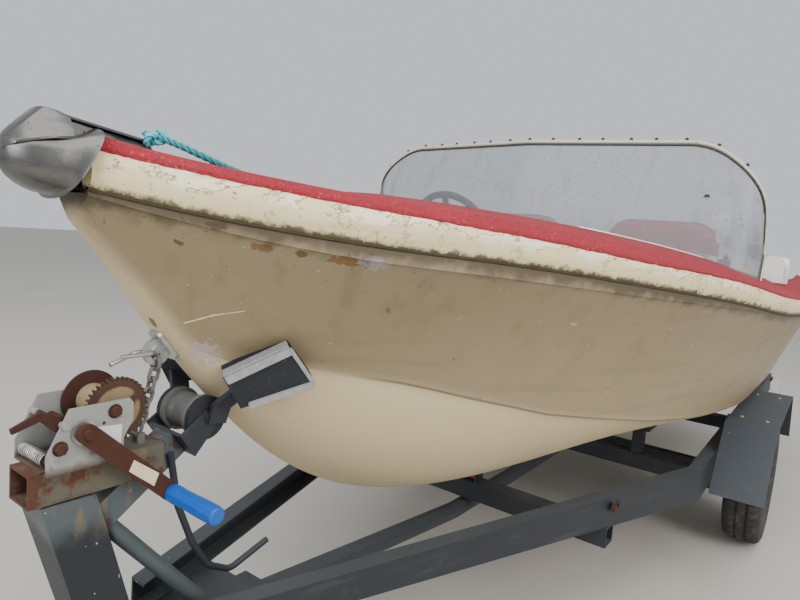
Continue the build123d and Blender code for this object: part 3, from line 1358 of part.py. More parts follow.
with BuildPart() as jockey_clamp:
    with BuildSketch(Plane.XY.offset(CLAMP_LOW)):
        with Locations((JOCKEY_X, JOCKEY_Y)):
            Circle(JOCKEY_TUBE + 8)
        with Locations(((JOCKEY_X + DRAWBAR / 2) / 2, JOCKEY_Y)):
            Rectangle(JOCKEY_X - DRAWBAR / 2, 44)
        with Locations((DRAWBAR / 2 + 4, JOCKEY_Y)):
            Rectangle(8, 120)
        with Locations((JOCKEY_X + JOCKEY_TUBE + 16, JOCKEY_Y)):
            Rectangle(24, 22)
        with Locations((JOCKEY_X, JOCKEY_Y)):
            Circle(JOCKEY_TUBE + SHAFT_GAP, mode=Mode.SUBTRACT)
    extrude(amount=CLAMP_HEIGHT)
save(jockey_clamp, "jockey_clamp")
crown_low = JOCKEY_FORK_TOP - JOCKEY_CROWN
with BuildPart() as jockey_leg:
    with BuildSketch(Plane.XY.offset(JOCKEY_FORK_TOP + FIT_GAP)):
        with Locations((JOCKEY_X, JOCKEY_Y)):
            Circle(JOCKEY_LEG)
    extrude(amount=JOCKEY_LEG_TOP - JOCKEY_FORK_TOP)
    for low, radius, height in ((crown_low - 6, 8.0, JOCKEY_CROWN + 7), (crown_low - 6, 12.0, 5.7)):
        with BuildSketch(Plane.XY.offset(low)):
            with Locations((JOCKEY_X, JOCKEY_Y)):
                Circle(radius)
        extrude(amount=height)
save(jockey_leg, "jockey_leg")
axle_y = JOCKEY_Y + JOCKEY_TRAIL
with BuildPart() as jockey_fork:
    with BuildSketch(Plane.XY.offset(crown_low)):
        with Locations((JOCKEY_X, JOCKEY_Y + 8)):
            RectangleRounded(2 * JOCKEY_FORK_X + 8, 60, 10)
        with Locations((JOCKEY_X, JOCKEY_Y)):
            Circle(8 + SHAFT_GAP, mode=Mode.SUBTRACT)
    extrude(amount=JOCKEY_CROWN)
    for x in (JOCKEY_X - JOCKEY_FORK_X - 4, JOCKEY_X + JOCKEY_FORK_X):
        with BuildSketch(sideways(x)):
            with BuildLine():
                Polyline(
                    (JOCKEY_Y - 16, crown_low + 4), (JOCKEY_Y + 34, crown_low + 4),
                    (axle_y + 13, JOCKEY_RADIUS + 4), (axle_y + 6, JOCKEY_RADIUS - 14),
                    (axle_y - 8, JOCKEY_RADIUS - 13), (axle_y - 16, JOCKEY_RADIUS + 6), close=True,
                )
            make_face()
        extrude(amount=4)
    with BuildSketch(sideways(JOCKEY_X - JOCKEY_FORK_X - 8)):
        with Locations((axle_y, JOCKEY_RADIUS)):
            Circle(JOCKEY_PIN)
    extrude(amount=2 * JOCKEY_FORK_X + 16)
save(jockey_fork, "jockey_fork")
with BuildPart() as jockey_wheel:
    with BuildSketch(Plane(origin=(JOCKEY_X, axle_y, JOCKEY_RADIUS), x_dir=(1, 0, 0), z_dir=(0, -1, 0))):
        with BuildLine():
            half = JOCKEY_WIDTH / 2
            bore = JOCKEY_PIN + SHAFT_GAP
            Polyline(
                (half, JOCKEY_RADIUS - 12), (half, 42), (half - 14, 36), (half - 14, 20), (half + 2, 16),
                (half + 2, bore), (-half - 2, bore), (-half - 2, 16), (14 - half, 20), (14 - half, 36),
                (-half, 42), (-half, JOCKEY_RADIUS - 12),
            )
            ThreePointArc((-half, JOCKEY_RADIUS - 12), (0, JOCKEY_RADIUS), (half, JOCKEY_RADIUS - 12))
        make_face()
    revolve(axis=Axis((JOCKEY_X, axle_y, JOCKEY_RADIUS), (1, 0, 0)))
save(jockey_wheel, "jockey_wheel")

# Light board behind the rails, with a blank plate panel and two lamps
with BuildPart() as light_board:
    with BuildSketch(across(BOARD_FRONT_Y)):
        with Locations((0, (BOARD_LOW + BOARD_HIGH) / 2)):
            Rectangle(2 * BOARD_HALF, BOARD_HIGH - BOARD_LOW)
    extrude(amount=-BOARD_DEPTH)
    with BuildSketch(across(BOARD_FRONT_Y + 4)):
        with Locations((0, (BOARD_LOW + BOARD_HIGH) / 2)):
            Rectangle(2 * BOARD_HALF - 8, BOARD_HIGH - BOARD_LOW - 8)
    extrude(amount=-BOARD_DEPTH, mode=Mode.SUBTRACT)
    with BuildSketch(across(BOARD_FRONT_Y + BOARD_DEPTH)):
        with Locations((0, (BOARD_LOW + BOARD_HIGH) / 2)):
            Rectangle(PLATE_PANEL[0], PLATE_PANEL[1])
    extrude(amount=-PLATE_PANEL[2])
save(light_board, "light_board")
with BuildPart() as tail_lamps:
    with BuildSketch(across(BOARD_FRONT_Y + BOARD_DEPTH)):
        with Locations((TAIL_LAMP_X, (BOARD_LOW + BOARD_HIGH) / 2), (-TAIL_LAMP_X, (BOARD_LOW + BOARD_HIGH) / 2)):
            RectangleRounded(LAMP_BOX[0], LAMP_BOX[1], 8)
    extrude(amount=-LAMP_BOX[2])
save(tail_lamps, "tail_lamps")

# White fitting on the port side deck aft of the windscreen: two cheeks and a drum between them
with BuildPart() as fitting:
    for y in (FITTING_Y, FITTING_Y + FITTING_LENGTH - FITTING_CHEEK):
        with BuildSketch(across(y)):
            with Locations((FITTING_X, (FITTING_FOOT_Z + FITTING_TOP) / 2)):
                RectangleRounded(2 * FITTING_RADIUS, FITTING_TOP - FITTING_FOOT_Z, 20)
        extrude(amount=-FITTING_CHEEK)
    with BuildSketch(across(FITTING_Y + 5)):
        with Locations((FITTING_X, FITTING_TOP - FITTING_RADIUS - 2)):
            Circle(FITTING_RADIUS - 4)
    extrude(amount=-(FITTING_LENGTH - 10))
    add(topside, mode=Mode.SUBTRACT)
save(fitting, "side_fitting")

# Mooring rope: the tube along its route, and the coil that holds the rest
corner_radii = []
for before, point, after in zip(ROPE_ROUTE, ROPE_ROUTE[1:], ROPE_ROUTE[2:]):
    run_in, run_out = Vector(*point) - Vector(*before), Vector(*after) - Vector(*point)
    half_turn = math.radians(run_in.get_angle(run_out)) / 2
    corner_radii.append(0.45 * min(run_in.length, run_out.length) / math.tan(half_turn))
print("rope corner radii", [round(radius) for radius in corner_radii])
with BuildPart() as bow_rope:
    with BuildLine() as rope_path:
        FilletPolyline(*ROPE_ROUTE, radius=corner_radii)
    with BuildSketch(Plane(rope_path.line @ 0, z_dir=rope_path.line % 0)):
        Circle(ROPE_DIAMETER / 2)
    sweep()
save(bow_rope, "bow_rope")
rope_length = sum(edge.length for edge in rope_path.line.edges())
print("rope length", round(rope_length), "volume", round(bow_rope.part.volume),
      "expected", round(math.pi * ROPE_DIAMETER**2 / 4 * rope_length))


def deck_crown(y):
    edge_x, edge_z = deck_edge(station(y - BOW_Y))
    return edge_z + DECK_CAMBER * edge_x / BEAM_HALF


coil_x, coil_y = COIL_CENTRE
coil_slope = (deck_crown(coil_y + COIL_OUTER) - deck_crown(coil_y - COIL_OUTER)) / (2 * COIL_OUTER)
coil_plane = Plane(
    origin=(coil_x, coil_y, deck_crown(coil_y) + 3 * FIT_GAP), x_dir=(1, 0, 0), z_dir=(0, -coil_slope, 1),
)
print("coil plane", coil_plane.origin, round(coil_slope, 4))
with BuildPart() as rope_coil:
    with BuildSketch(coil_plane):
        Circle(COIL_OUTER)
        Circle(COIL_INNER, mode=Mode.SUBTRACT)
    extrude(amount=COIL_HEIGHT)
save(rope_coil, "rope_coil")
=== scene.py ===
"""A small open speedboat on its single-axle trailer: the looks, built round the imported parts.

Metres. Bow towards -Y, port side +X, ground at Z = 0.
"""
import math
import random

import bmesh
import bpy
import numpy as np
from mathutils import Matrix, Vector
from mathutils.bvhtree import BVHTree


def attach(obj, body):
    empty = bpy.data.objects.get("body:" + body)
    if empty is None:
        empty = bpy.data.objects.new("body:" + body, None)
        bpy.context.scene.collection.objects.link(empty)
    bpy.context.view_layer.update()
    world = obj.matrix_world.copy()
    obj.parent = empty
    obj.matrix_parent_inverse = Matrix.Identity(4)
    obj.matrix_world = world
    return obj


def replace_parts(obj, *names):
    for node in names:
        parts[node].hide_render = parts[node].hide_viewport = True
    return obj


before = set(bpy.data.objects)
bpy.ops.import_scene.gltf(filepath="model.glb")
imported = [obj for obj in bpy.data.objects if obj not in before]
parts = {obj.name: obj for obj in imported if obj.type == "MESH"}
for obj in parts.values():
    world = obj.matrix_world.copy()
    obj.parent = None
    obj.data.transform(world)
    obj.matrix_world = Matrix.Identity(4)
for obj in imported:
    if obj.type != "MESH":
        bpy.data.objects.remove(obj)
chance = random.Random(7)
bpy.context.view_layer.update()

# Camera: solved from the photograph, in its own pixels
FRAME_WIDE, FRAME_HIGH = 800, 600
FOCAL = 607.0
SENSOR_WIDE = 36.0
YAW, PITCH, ROLL = (math.radians(angle) for angle in (35.97, 6.22, -4.51))
EYE = Vector((0.888, -1.925, 1.09))
ahead = Vector((-math.sin(YAW) * math.cos(PITCH), math.cos(YAW) * math.cos(PITCH), -math.sin(PITCH)))
level = Vector((math.cos(YAW), math.sin(YAW), 0.0))
down = ahead.cross(level)
right = math.cos(ROLL) * level + math.sin(ROLL) * down
below = -math.sin(ROLL) * level + math.cos(ROLL) * down

# Lines along the hull as (Y, value): the gunwale's low edge as dressed here and as in the solids, the
# covering's low edge above it, the half-breadth and the chine
SHEER = ((-1.505, 1.118), (-1.425, 1.101), (-1.325, 1.085), (-1.185, 1.069), (-0.975, 1.054),
         (-0.675, 1.027), (-0.275, 0.989), (0.175, 0.943), (0.775, 0.918), (1.575, 0.914), (2.415, 0.925))
SOLID_SHEER = ((-1.505, 1.112), (-1.425, 1.090), (-1.325, 1.068), (-1.185, 1.048), (-0.975, 1.032),
               (-0.675, 1.008), (-0.275, 0.978), (0.175, 0.945), (0.775, 0.925), (1.575, 0.915), (2.415, 0.925))
COVER_LOW = ((-1.508, 0.0545), (-1.430, 0.0560), (-1.330, 0.0565), (-1.190, 0.0550), (-0.990, 0.0480),
             (-0.690, 0.0420), (-0.300, 0.0475), (0.100, 0.0480), (2.420, 0.0470))
HALF_BREADTH = ((-1.505, 0.046), (-1.425, 0.118), (-1.325, 0.198), (-1.185, 0.297), (-0.975, 0.428),
                (-0.675, 0.575), (-0.275, 0.690), (0.175, 0.765), (0.775, 0.790), (1.575, 0.785), (2.415, 0.760))
CHINE = ((-1.505, 1.075), (-1.425, 0.990), (-1.325, 0.875), (-1.185, 0.842), (-0.975, 0.800),
         (-0.675, 0.722), (-0.275, 0.655), (0.175, 0.600), (0.775, 0.556), (1.575, 0.550), (2.415, 0.548))

# The rope's route and its coil, as in the solids
ROPE_ROUTE = (
    (0.008, -1.404, 1.210), (0.038, -1.398, 1.205), (0.068, -1.389, 1.196), (0.096, -1.372, 1.184),
    (0.114, -1.343, 1.171), (0.122, -1.307, 1.162), (0.118, -1.267, 1.151), (0.101, -1.216, 1.136),
    (0.077, -1.146, 1.128), (0.060, -1.062, 1.124), (0.066, -0.974, 1.120), (0.088, -0.890, 1.115),
    (0.114, -0.812, 1.110), (0.131, -0.748, 1.106),
)
ROPE_THICK = 0.0105
COIL_CENTRE = (0.067, -0.731, 1.1004)
COIL_SLOPE = -0.0614
COIL_RADII = (0.0423, 0.0528, 0.0633, 0.0738)

# Windscreen: plan line, bends, rake and the outline of its edge
SCREEN_PLAN = ((-0.690, 0.080), (-0.680, -0.102), (0.0, -0.215), (0.680, -0.102), (0.690, 0.080))
SCREEN_BEND = 0.110
SCREEN_RAKE = math.tan(math.radians(21.0))
SCREEN_TOP, SCREEN_FOOT = 1.421, 1.000
SCREEN_REACH, SCREEN_ACROSS, SCREEN_DROP = 0.708, 0.235, 0.330
SCREEN_FRONT, SCREEN_PACE = 0.585, 0.986
SCREEN_ROWS, SCREEN_THICK = 26, 0.005
STRIP_RADIUS, SEAL_RADIUS, SEAL_INSET = 0.0062, 0.0036, 0.0085
STUDS, STUD_REACH = 17, 0.62
STICKER_PROUD = 0.0085

# Running gear, winch and bow pads
AXLE_Y, AXLE_Z, WHEEL_X = 0.795, 0.245, 0.690
DRUM = (-1.450, 0.795)
CRANK_SHAFT = (-1.50724, 0.777)
CRANK_HUB_X, CRANK_BOSS_X, FAR_PLATE_X = 0.0532, 0.0680, -0.0535
GRIP_AXIS = (-1.3719, 0.6508)
SPRING_AXIS, SPRING_RADIUS, SPRING_TURNS = (-1.545, 0.737), 0.0088, 13
PAD_MIDDLE = (0.1185, -1.234, 0.8355)
PAD_CORNERS = ((0.084, -1.298, 0.838), (0.150, -1.217, 0.893), (0.150, -1.157, 0.829), (0.090, -1.264, 0.782))
PAD_OUTWARD = Vector((0.8245, -0.519, -0.2259))


def rgb(red, green, blue, alpha=1.0):
    """A colour as seen on a screen, 0 to 255, made linear."""
    return tuple(((c / 255 + 0.055) / 1.055) ** 2.4 if c > 10 else c / 3294 for c in (red, green, blue)) + (alpha,)


class Tone:
    """A value or colour inside one finish; operators on values add Math nodes."""

    def __init__(self, look, socket):
        self.look, self.socket = look, socket

    def __add__(self, other):
        return self.look.math("ADD", self, other)

    def __sub__(self, other):
        return self.look.math("SUBTRACT", self, other)

    def __mul__(self, other):
        return self.look.math("MULTIPLY", self, other)

    def __abs__(self):
        return self.look.math("ABSOLUTE", self)

    def most(self, other):
        return self.look.math("MAXIMUM", self, other)

    def coat(self, mask, *colour):
        """This colour with another laid over it by a mask."""
        return self.look.mix(mask, self, rgb(*colour))

    __radd__ = __add__


class Look:
    """One finish: its material and the nodes that make it."""

    def __init__(self, name):
        self.material = bpy.data.materials.new(name)
        self.material.use_nodes = True
        self.tree = self.material.node_tree
        self.tree.nodes.clear()
        self.shader = self.tree.nodes.new("ShaderNodeBsdfPrincipled")
        output = self.tree.nodes.new("ShaderNodeOutputMaterial")
        self.tree.links.new(self.shader.outputs[0], output.inputs["Surface"])
        self.place = Tone(self, self.tree.nodes.new("ShaderNodeTexCoord").outputs["Object"])
        self.x, self.y, self.z = (self.node("ShaderNodeSeparateXYZ", {}, (self.place,), axis) for axis in range(3))

    def node(self, kind, settings, values, output=0):
        node = self.tree.nodes.new(kind)
        for name, value in settings.items():
            if name == "stops":
                ramp = node.color_ramp
                while len(ramp.elements) < len(value):
                    ramp.elements.new(1.0)
                for element, (spot, colour) in zip(ramp.elements, value):
                    element.position, element.color = spot, colour
            else:
                setattr(node, name, value)
        for key, value in values.items() if isinstance(values, dict) else enumerate(values):
            if isinstance(value, Tone):
                self.tree.links.new(value.socket, node.inputs[key])
            elif value is not None:
                node.inputs[key].default_value = value
        return Tone(self, node.outputs[output])

    def math(self, operation, *values):
        return self.node("ShaderNodeMath", {"operation": operation}, values)

    def vector(self, operation, *values, output=0):
        return self.node("ShaderNodeVectorMath", {"operation": operation}, values, output)

    def step(self, value, low, high):
        """0 at low, 1 at high, smooth between; low may be above high."""
        return self.node("ShaderNodeMapRange", {"interpolation_type": "SMOOTHSTEP"}, (value, low, high, 0.0, 1.0))

    def mix(self, mask, first, second):
        return self.node("ShaderNodeMix", {"data_type": "RGBA"}, {0: mask, 6: first, 7: second}, 2)

    def grain(self, scale, detail=3.0, rough=0.55, warp=0.0, pull=None):
        """Noise; pull makes it finer along X, Y and Z by these factors."""
        at = self.vector("MULTIPLY", self.place, pull) if pull else self.place
        values = {"Vector": at, "Scale": scale, "Detail": detail, "Roughness": rough, "Distortion": warp}
        return self.node("ShaderNodeTexNoise", {}, values)

    def blots(self, low, high, *grain, **more):
        """Noise cut to patches: 1 beyond high, 0 beyond low."""
        return self.step(self.grain(*grain, **more), low, high)

    def tones(self, first, second, *grain, **more):
        """Two screen colours mixed by noise."""
        return self.mix(self.grain(*grain, **more), rgb(*first), rgb(*second))

    def stray(self, amount, *grain, **more):
        """Noise about zero, so wide from its lowest to its highest."""
        return (self.grain(*grain, **more) - 0.5) * amount

    def cells(self, scale, feature="F1", at=None):
        return self.node("ShaderNodeTexVoronoi", {"feature": feature}, {"Vector": at or self.place, "Scale": scale})

    def warped(self, scale, amount):
        """The place, pushed about by noise."""
        values = {"Vector": self.place, "Scale": scale, "Detail": 3.0}
        push = self.node("ShaderNodeTexNoise", {}, values, 1)
        moved = self.node("ShaderNodeVectorMath", {"operation": "SCALE"}, {0: push, "Scale": amount})
        return self.vector("ADD", self.place, moved)

    def along(self, line):
        """Height of a line given as (Y, Z) points, read at this place's Y."""
        first, last = line[0][0], line[-1][0]
        share = self.node("ShaderNodeMapRange", {}, (self.y, first, last, 0.0, 1.0))
        stops = [((y - first) / (last - first), (z / 2, z / 2, z / 2, 1.0)) for y, z in line]
        return self.node("ShaderNodeValToRGB", {"stops": stops}, (share,)) * 2.0

    def near(self, spot, reach, ragged, scale, squash=(1.0, 1.0, 1.0)):
        """1 inside a ragged patch round a spot, 0 outside."""
        away = self.vector("SUBTRACT", self.place, tuple(spot))
        far = self.vector("LENGTH", self.vector("MULTIPLY", away, squash), output=1)
        return self.step(far + self.stray(ragged, scale, 4.0), reach, reach * 0.8)

    def scratch(self, start, end, width, ragged=0.004):
        """1 along a wandering line between two spots."""
        start, end = Vector(start), Vector(end)
        run = (end - start).normalized()
        away = self.vector("SUBTRACT", self.place, tuple(start))
        side = self.vector("CROSS_PRODUCT", away, tuple(run))
        far = self.vector("LENGTH", side, output=1) + self.stray(ragged, 40.0)
        on = self.vector("DOT_PRODUCT", away, tuple(run), output=1)
        long = (end - start).length
        ends = self.step(on, -width, width) * self.step(on, long + width, long)
        return self.step(far, width, width * 0.3) * ends

    def up(self):
        """How far a surface faces upwards, -1 to 1."""
        normal = Tone(self, self.tree.nodes.new("ShaderNodeNewGeometry").outputs["Normal"])
        return self.node("ShaderNodeSeparateXYZ", {}, (normal,), 2)

    def finish(self, colour, rough=0.5, metal=0.0, height=None, strength=0.4, depth=0.001, **fixed):
        """Sets the shader. height is what stands proud, depth how far in metres."""
        values = {"Base Color": colour, "Roughness": rough, "Metallic": metal, **fixed}
        if height is not None:
            bump = {"Strength": strength, "Distance": depth, "Height": height}
            values["Normal"] = self.node("ShaderNodeBump", {}, bump)
        for name, value in values.items():
            if isinstance(value, Tone):
                self.tree.links.new(value.socket, self.shader.inputs[name])
            else:
                self.shader.inputs[name].default_value = value
        return self.material


surfaces = {}


def surface(name):
    """A part's faces, ready for rays."""
    if name not in surfaces:
        mesh = parts[name].data
        corners = [vertex.co.copy() for vertex in mesh.vertices]
        surfaces[name] = BVHTree.FromPolygons(corners, [tuple(face.vertices) for face in mesh.polygons])
    return surfaces[name]


def seen(px, py, *names):
    """Where the line of sight through a spot of the frame meets these parts, and the normal there."""
    aside, lower = (px - FRAME_WIDE / 2) / FOCAL, (py - FRAME_HIGH / 2) / FOCAL
    line = (ahead + right * aside + below * lower).normalized()
    found = []
    for name in names:
        spot, normal, _, far = surface(name).ray_cast(EYE, line)
        if spot is None:
            close = [surface(name).find_nearest(EYE + line * (0.3 + 0.02 * k)) for k in range(150)]
            spot, normal, _, gap = min(close, key=lambda hit: hit[3])
            far = 100.0 + gap
        found.append((far, spot, normal if normal.dot(line) < 0 else -normal))
    return min(found, key=lambda hit: hit[0])[1:]


# Finishes of the hull and deck


def aged_gelcoat():
    look = Look("aged_gelcoat")
    drop = look.along(SHEER) - look.z
    base = look.tones((143, 127, 98), (160, 143, 112), 1.3)
    streaks = look.blots(0.50, 0.72, 1.0, 4.0, pull=(4.0, 1.2, 30.0))
    base = base.coat(streaks * 0.30, 126, 109, 79)
    drips = look.blots(0.48, 0.75, 1.0, 4.0, pull=(24.0, 24.0, 1.6))
    base = base.coat(drips * look.step(drop, 0.34, 0.02) * 0.40, 110, 88, 54)
    # Painted shade: the topside is laid darker and browner towards the gunwale, where its flare faces down.
    base = base.coat(look.step(drop, 0.30, 0.0) * 0.42, 104, 89, 63)
    # Painted light: below the chine the gelcoat is laid in a lighter, lit copy of the same cream; the tones above
    # are its shaded copy.
    lower = look.step(look.z - look.along(CHINE), 0.02, -0.02)
    base = base.coat(lower * 0.80, 206, 188, 150)
    fine = look.grain(42.0, 5.0, 0.65)
    chips = look.step(fine, 0.665, 0.70) * look.blots(0.44, 0.58, 4.0)
    base = base.coat(chips * 0.65, 84, 66, 42)
    pale = look.blots(0.68, 0.71, 30.0, 5.0, 0.6, pull=(1.0, 1.0, 2.2))
    base = base.coat(pale * look.step(drop, 0.42, 0.1) * 0.6, 200, 182, 142)
    wounds = 0.0
    for px, py, reach, squash, colour in (
        (348, 261, 0.020, (1.0, 0.42, 2.0), (112, 78, 36)), (375, 263, 0.018, (1.0, 0.36, 1.6), (150, 136, 134)),
        (207, 352, 0.022, (1.0, 0.8, 0.75), (176, 160, 154)), (300, 254, 0.008, (1.0, 0.6, 1.5), (86, 64, 34)),
        (217, 225, 0.012, (1.0, 0.35, 1.8), (104, 80, 44)), (180, 243, 0.007, (1.0, 0.6, 1.4), (88, 68, 38)),
        (262, 248, 0.010, (1.0, 0.4, 1.5), (110, 84, 46)), (153, 322, 0.007, (1.0, 1.0, 0.4), (110, 84, 50)),
    ):
        patch = look.near(seen(px, py, "hull", "gunwale_port")[0], reach, reach * 2.6, 85.0, squash)
        base = base.coat(patch * 0.9, *colour)
        wounds = patch + wounds
    for start, end, width in (((184, 323), (214, 315), 0.0022), ((214, 315), (245, 311), 0.0012)):
        gouge = look.scratch(seen(*start, "hull")[0], seen(*end, "hull")[0], width)
        base = base.coat(gouge, 226, 204, 156)
        wounds = wounds + gouge
    # Painted shade: a thin dark line along the chine, where the side's lower edge overhangs the bottom; it is also
    # pressed in as a groove.
    chine_near = abs(look.z - look.along(CHINE) + look.stray(0.003, 9.0))
    chine_shade_line = look.step(chine_near, 0.0040, 0.0012) * look.step(look.y, -1.16, -0.98)
    base = base.coat(chine_shade_line * 0.6, 74, 60, 38)
    # Dark stain and painted shade in a ragged band just below the gunwale roll, where its underside shades the
    # hull.
    ledge = drop + look.stray(0.050, 26.0, 5.0)
    mildew_and_roll_shade = look.step(ledge, 0.034, 0.010)
    base = base.coat(mildew_and_roll_shade * 0.75, 52, 42, 26)
    nicks = look.blots(0.69, 0.71, 58.0, 6.0, 0.7, pull=(1.0, 0.5, 1.6))
    base = base.coat(nicks * look.step(drop, 0.46, 0.10) * 0.85, 218, 202, 160)
    shade = look.step(nicks, 0.05, 0.5) * look.step(nicks, 0.95, 0.5)
    base = base.coat(shade * look.step(drop, 0.46, 0.10) * 0.8, 78, 60, 34)
    specks = look.blots(0.66, 0.70, 120.0, 3.0) * look.step(drop, 0.16, 0.0)
    base = base.coat(specks * 0.7, 66, 58, 34)
    height = fine * 0.25 - chips * 0.5 - wounds * 0.8 - chine_shade_line
    return look.finish(base, 0.36 + look.grain(7.0) * 0.22, height=height, strength=0.45, depth=0.0014)


def moulded_edge():
    look = Look("flaking_moulded_edge")
    rise = look.z - look.along(SHEER)
    base = look.tones((216, 199, 150), (226, 212, 168), 2.0)
    band = look.step(rise + look.stray(0.060, 13.0, 5.0), 0.026, 0.040)
    flake = look.grain(17.0, 6.0, 0.6, pull=(1.0, 0.45, 1.3))
    bare = look.step(flake, 0.49, 0.505) * band
    base = base.coat(bare * 0.8, 232, 224, 198)
    torn = look.step(abs(flake - 0.497), 0.010, 0.003) * band
    base = base.coat(torn * 0.9, 96, 76, 44)
    crack = look.step(look.cells(64.0, "DISTANCE_TO_EDGE", look.warped(30.0, 0.03)), 0.045, 0.010)
    crack = crack * look.blots(0.52, 0.58, 5.3, 4.0)
    base = base.coat(crack * 0.6, 96, 78, 48)
    grey = look.blots(0.59, 0.65, 24.0, 5.0, 0.7) * look.blots(0.48, 0.6, 2.3)
    base = base.coat(grey * 0.7, 150, 144, 128)
    specks = look.blots(0.67, 0.70, 150.0, 3.0)
    base = base.coat(specks * 0.6, 120, 116, 84)
    streaks = look.blots(0.52, 0.70, 1.0, 4.0, pull=(3.0, 1.5, 60.0))
    base = base.coat(streaks * 0.35, 180, 156, 106)
    # Dirt and painted shade along the roll's low edge, on its underside.
    dark = look.step(rise + look.stray(0.034, 46.0, 6.0, 0.7), 0.010, 0.001)
    base = base.coat(dark * 0.9, 48, 38, 22)
    height = bare * 0.6 - crack - torn * 0.5 + look.grain(40.0) * 0.25
    return look.finish(base, 0.42 + look.grain(9.0) * 0.2, height=height, strength=0.5, depth=0.0012)


def red_nonskid():
    look = Look("red_nonskid")
    base = look.tones((126, 14, 28), (148, 25, 40), 6.0, 4.0)
    base = base.coat(look.blots(0.45, 0.7, 2.2) * 0.30, 164, 40, 52)
    pits = look.grain(190.0, 3.0, 0.7)
    # Painted highlight on the grain's high points and painted shade in its pits; the same noise stands proud in the
    # bump.
    base = base.coat(look.step(pits, 0.58, 0.70) * 0.60, 196, 92, 100)
    base = base.coat(look.step(pits, 0.42, 0.30) * 0.75, 66, 6, 14)
    return look.finish(base, 0.82, height=pits + look.grain(90.0) * 0.6, strength=0.9, depth=0.0030)


def dull_deck():
    look = Look("dull_deck")
    base = look.tones((206, 200, 182), (222, 217, 202), 2.0)
    base = base.coat(look.blots(0.52, 0.72, 9.0, 5.0) * 0.45, 176, 164, 136)
    specks = look.blots(0.64, 0.68, 90.0, 4.0)
    base = base.coat(specks * 0.6, 120, 110, 86)
    return look.finish(base, 0.5 + look.grain(12.0) * 0.2, height=look.grain(55.0), strength=0.12, depth=0.001)


def hazy_acrylic():
    look = Look("hazy_acrylic")
    haze = look.grain(2.6, 4.0)
    wipes = look.blots(0.50, 0.75, 1.0, 5.0, pull=(22.0, 22.0, 3.0))
    spots = look.blots(0.69, 0.72, 110.0, 2.0)
    base = look.mix(haze, rgb(120, 126, 132), rgb(148, 153, 158))
    base = base.coat(spots * 0.8, 122, 120, 116)
    alpha = 0.36 + haze * 0.28 + wipes * 0.16 + spots * 0.30 + look.step(look.z, 1.24, 1.10) * 0.18
    return look.finish(base, 0.20 + haze * 0.25, Alpha=alpha, IOR=1.49)


def edge_strip(name, first, second):
    look = Look(name)
    base = look.tones(first, second, 14.0, 5.0)
    base = base.coat(look.blots(0.60, 0.68, 60.0, 4.0) * 0.5, 92, 84, 72)
    return look.finish(base, 0.55, height=look.grain(80.0), strength=0.15, depth=0.0006)


def moulded(name, first, second, rough=0.45, speck=(60, 58, 54), amount=0.4, scale=8.0, metal=0.0, depth=0.0005):
    """Plastic, rubber or paint with uneven colour, specks of dirt and a fine skin."""
    look = Look(name)
    base = look.tones(first, second, scale, 4.0)
    dirt = look.blots(0.58, 0.70, scale * 6.0, 5.0, 0.65)
    base = base.coat(dirt * amount, *speck)
    skin = look.grain(220.0, 2.0) + dirt * 0.4
    return look.finish(base, rough + look.grain(20.0) * 0.15, metal, height=skin, strength=0.25, depth=depth)


# Finishes of the trailer and its winch


def chipped_paint(name, dark, light, rust, top):
    """Worn paint on steel: paler where it faces up, partly from wear and partly as painted light from above,
    chipped, and rusty in places.
    """
    look = Look(name)
    base = look.tones(dark, light, 3.0, 5.0)
    # Wear and painted light: faces that look up are laid paler, by the amount top.
    worn_and_lit_tops = look.step(look.up(), 0.35, 0.95) * (0.55 + look.grain(11.0, 5.0) * 0.7)
    base = base.coat(worn_and_lit_tops * top, 92, 99, 105)
    scuffs = look.blots(0.56, 0.74, 1.0, 5.0, pull=(16.0, 3.0, 40.0))
    base = base.coat(scuffs * 0.25, 78, 84, 89)
    dust = look.blots(0.55, 0.72, 22.0, 5.0, 0.7)
    base = base.coat(dust * 0.25, 84, 78, 66)
    chips = look.blots(0.735, 0.755, 75.0, 4.0, 0.6) * look.blots(0.45, 0.6, 5.0)
    base = base.coat(chips * 0.9, 196, 198, 198)
    brown = look.blots(0.62, 0.72, 6.0, 6.0, 0.7)
    base = base.coat(brown * rust, 84, 46, 26)
    rough = 0.55 + dust * 0.25 + brown * rust * 0.2
    return look.finish(base, rough, 0.0, height=look.grain(60.0, 4.0) - chips * 0.6, strength=0.22, depth=0.0010)


def winch_post_paint():
    look = Look("winch_post_paint")
    grey = look.tones((60, 69, 74), (82, 90, 92), 9.0, 5.0)
    navy = look.tones((18, 23, 30), (28, 34, 42), 7.0, 5.0)
    level_line = look.z + look.stray(0.07, 16.0, 5.0)
    on_post = look.step(look.y + look.z * 0.292, -1.262, -1.272)
    base = look.mix(look.step(level_line, 0.650, 0.605) * on_post, grey, navy)
    stain = look.blots(0.50, 0.66, 1.0, 5.0, pull=(40.0, 40.0, 9.0)) * look.step(level_line, 0.60, 0.66)
    base = base.coat(stain * 0.5, 128, 108, 62)
    rust = look.step(look.grain(26.0, 6.0, 0.7) + look.step(level_line, 0.655, 0.676) * 0.24, 0.70, 0.80)
    foot = look.near((0.0, -1.475, 0.612), 0.040, 0.04, 30.0)
    rust = rust.most(foot * look.blots(0.42, 0.56, 34.0, 5.0))
    base = base.coat(rust * 0.9, 72, 38, 22)
    chips = look.blots(0.71, 0.73, 85.0, 4.0)
    base = base.coat(chips * 0.9, 205, 205, 202)
    height = rust * 1.2 + look.grain(70.0) * 0.3
    return look.finish(base, 0.5 + rust * 0.35, height=height, strength=0.4, depth=0.0012)


def rust_finish(name, first, second, third, scale=30.0):
    look = Look(name)
    base = look.tones(first, second, scale, 6.0, 0.7)
    base = base.coat(look.blots(0.55, 0.68, scale * 0.5, 5.0) * 0.7, *third)
    scale_off = look.grain(scale * 7.0, 4.0, 0.7)
    base = base.coat(look.step(scale_off, 0.60, 0.72) * 0.4, 116, 78, 50)
    return look.finish(base, 0.86, 0.15, height=scale_off + look.grain(scale * 2.0), strength=0.6, depth=0.0012)


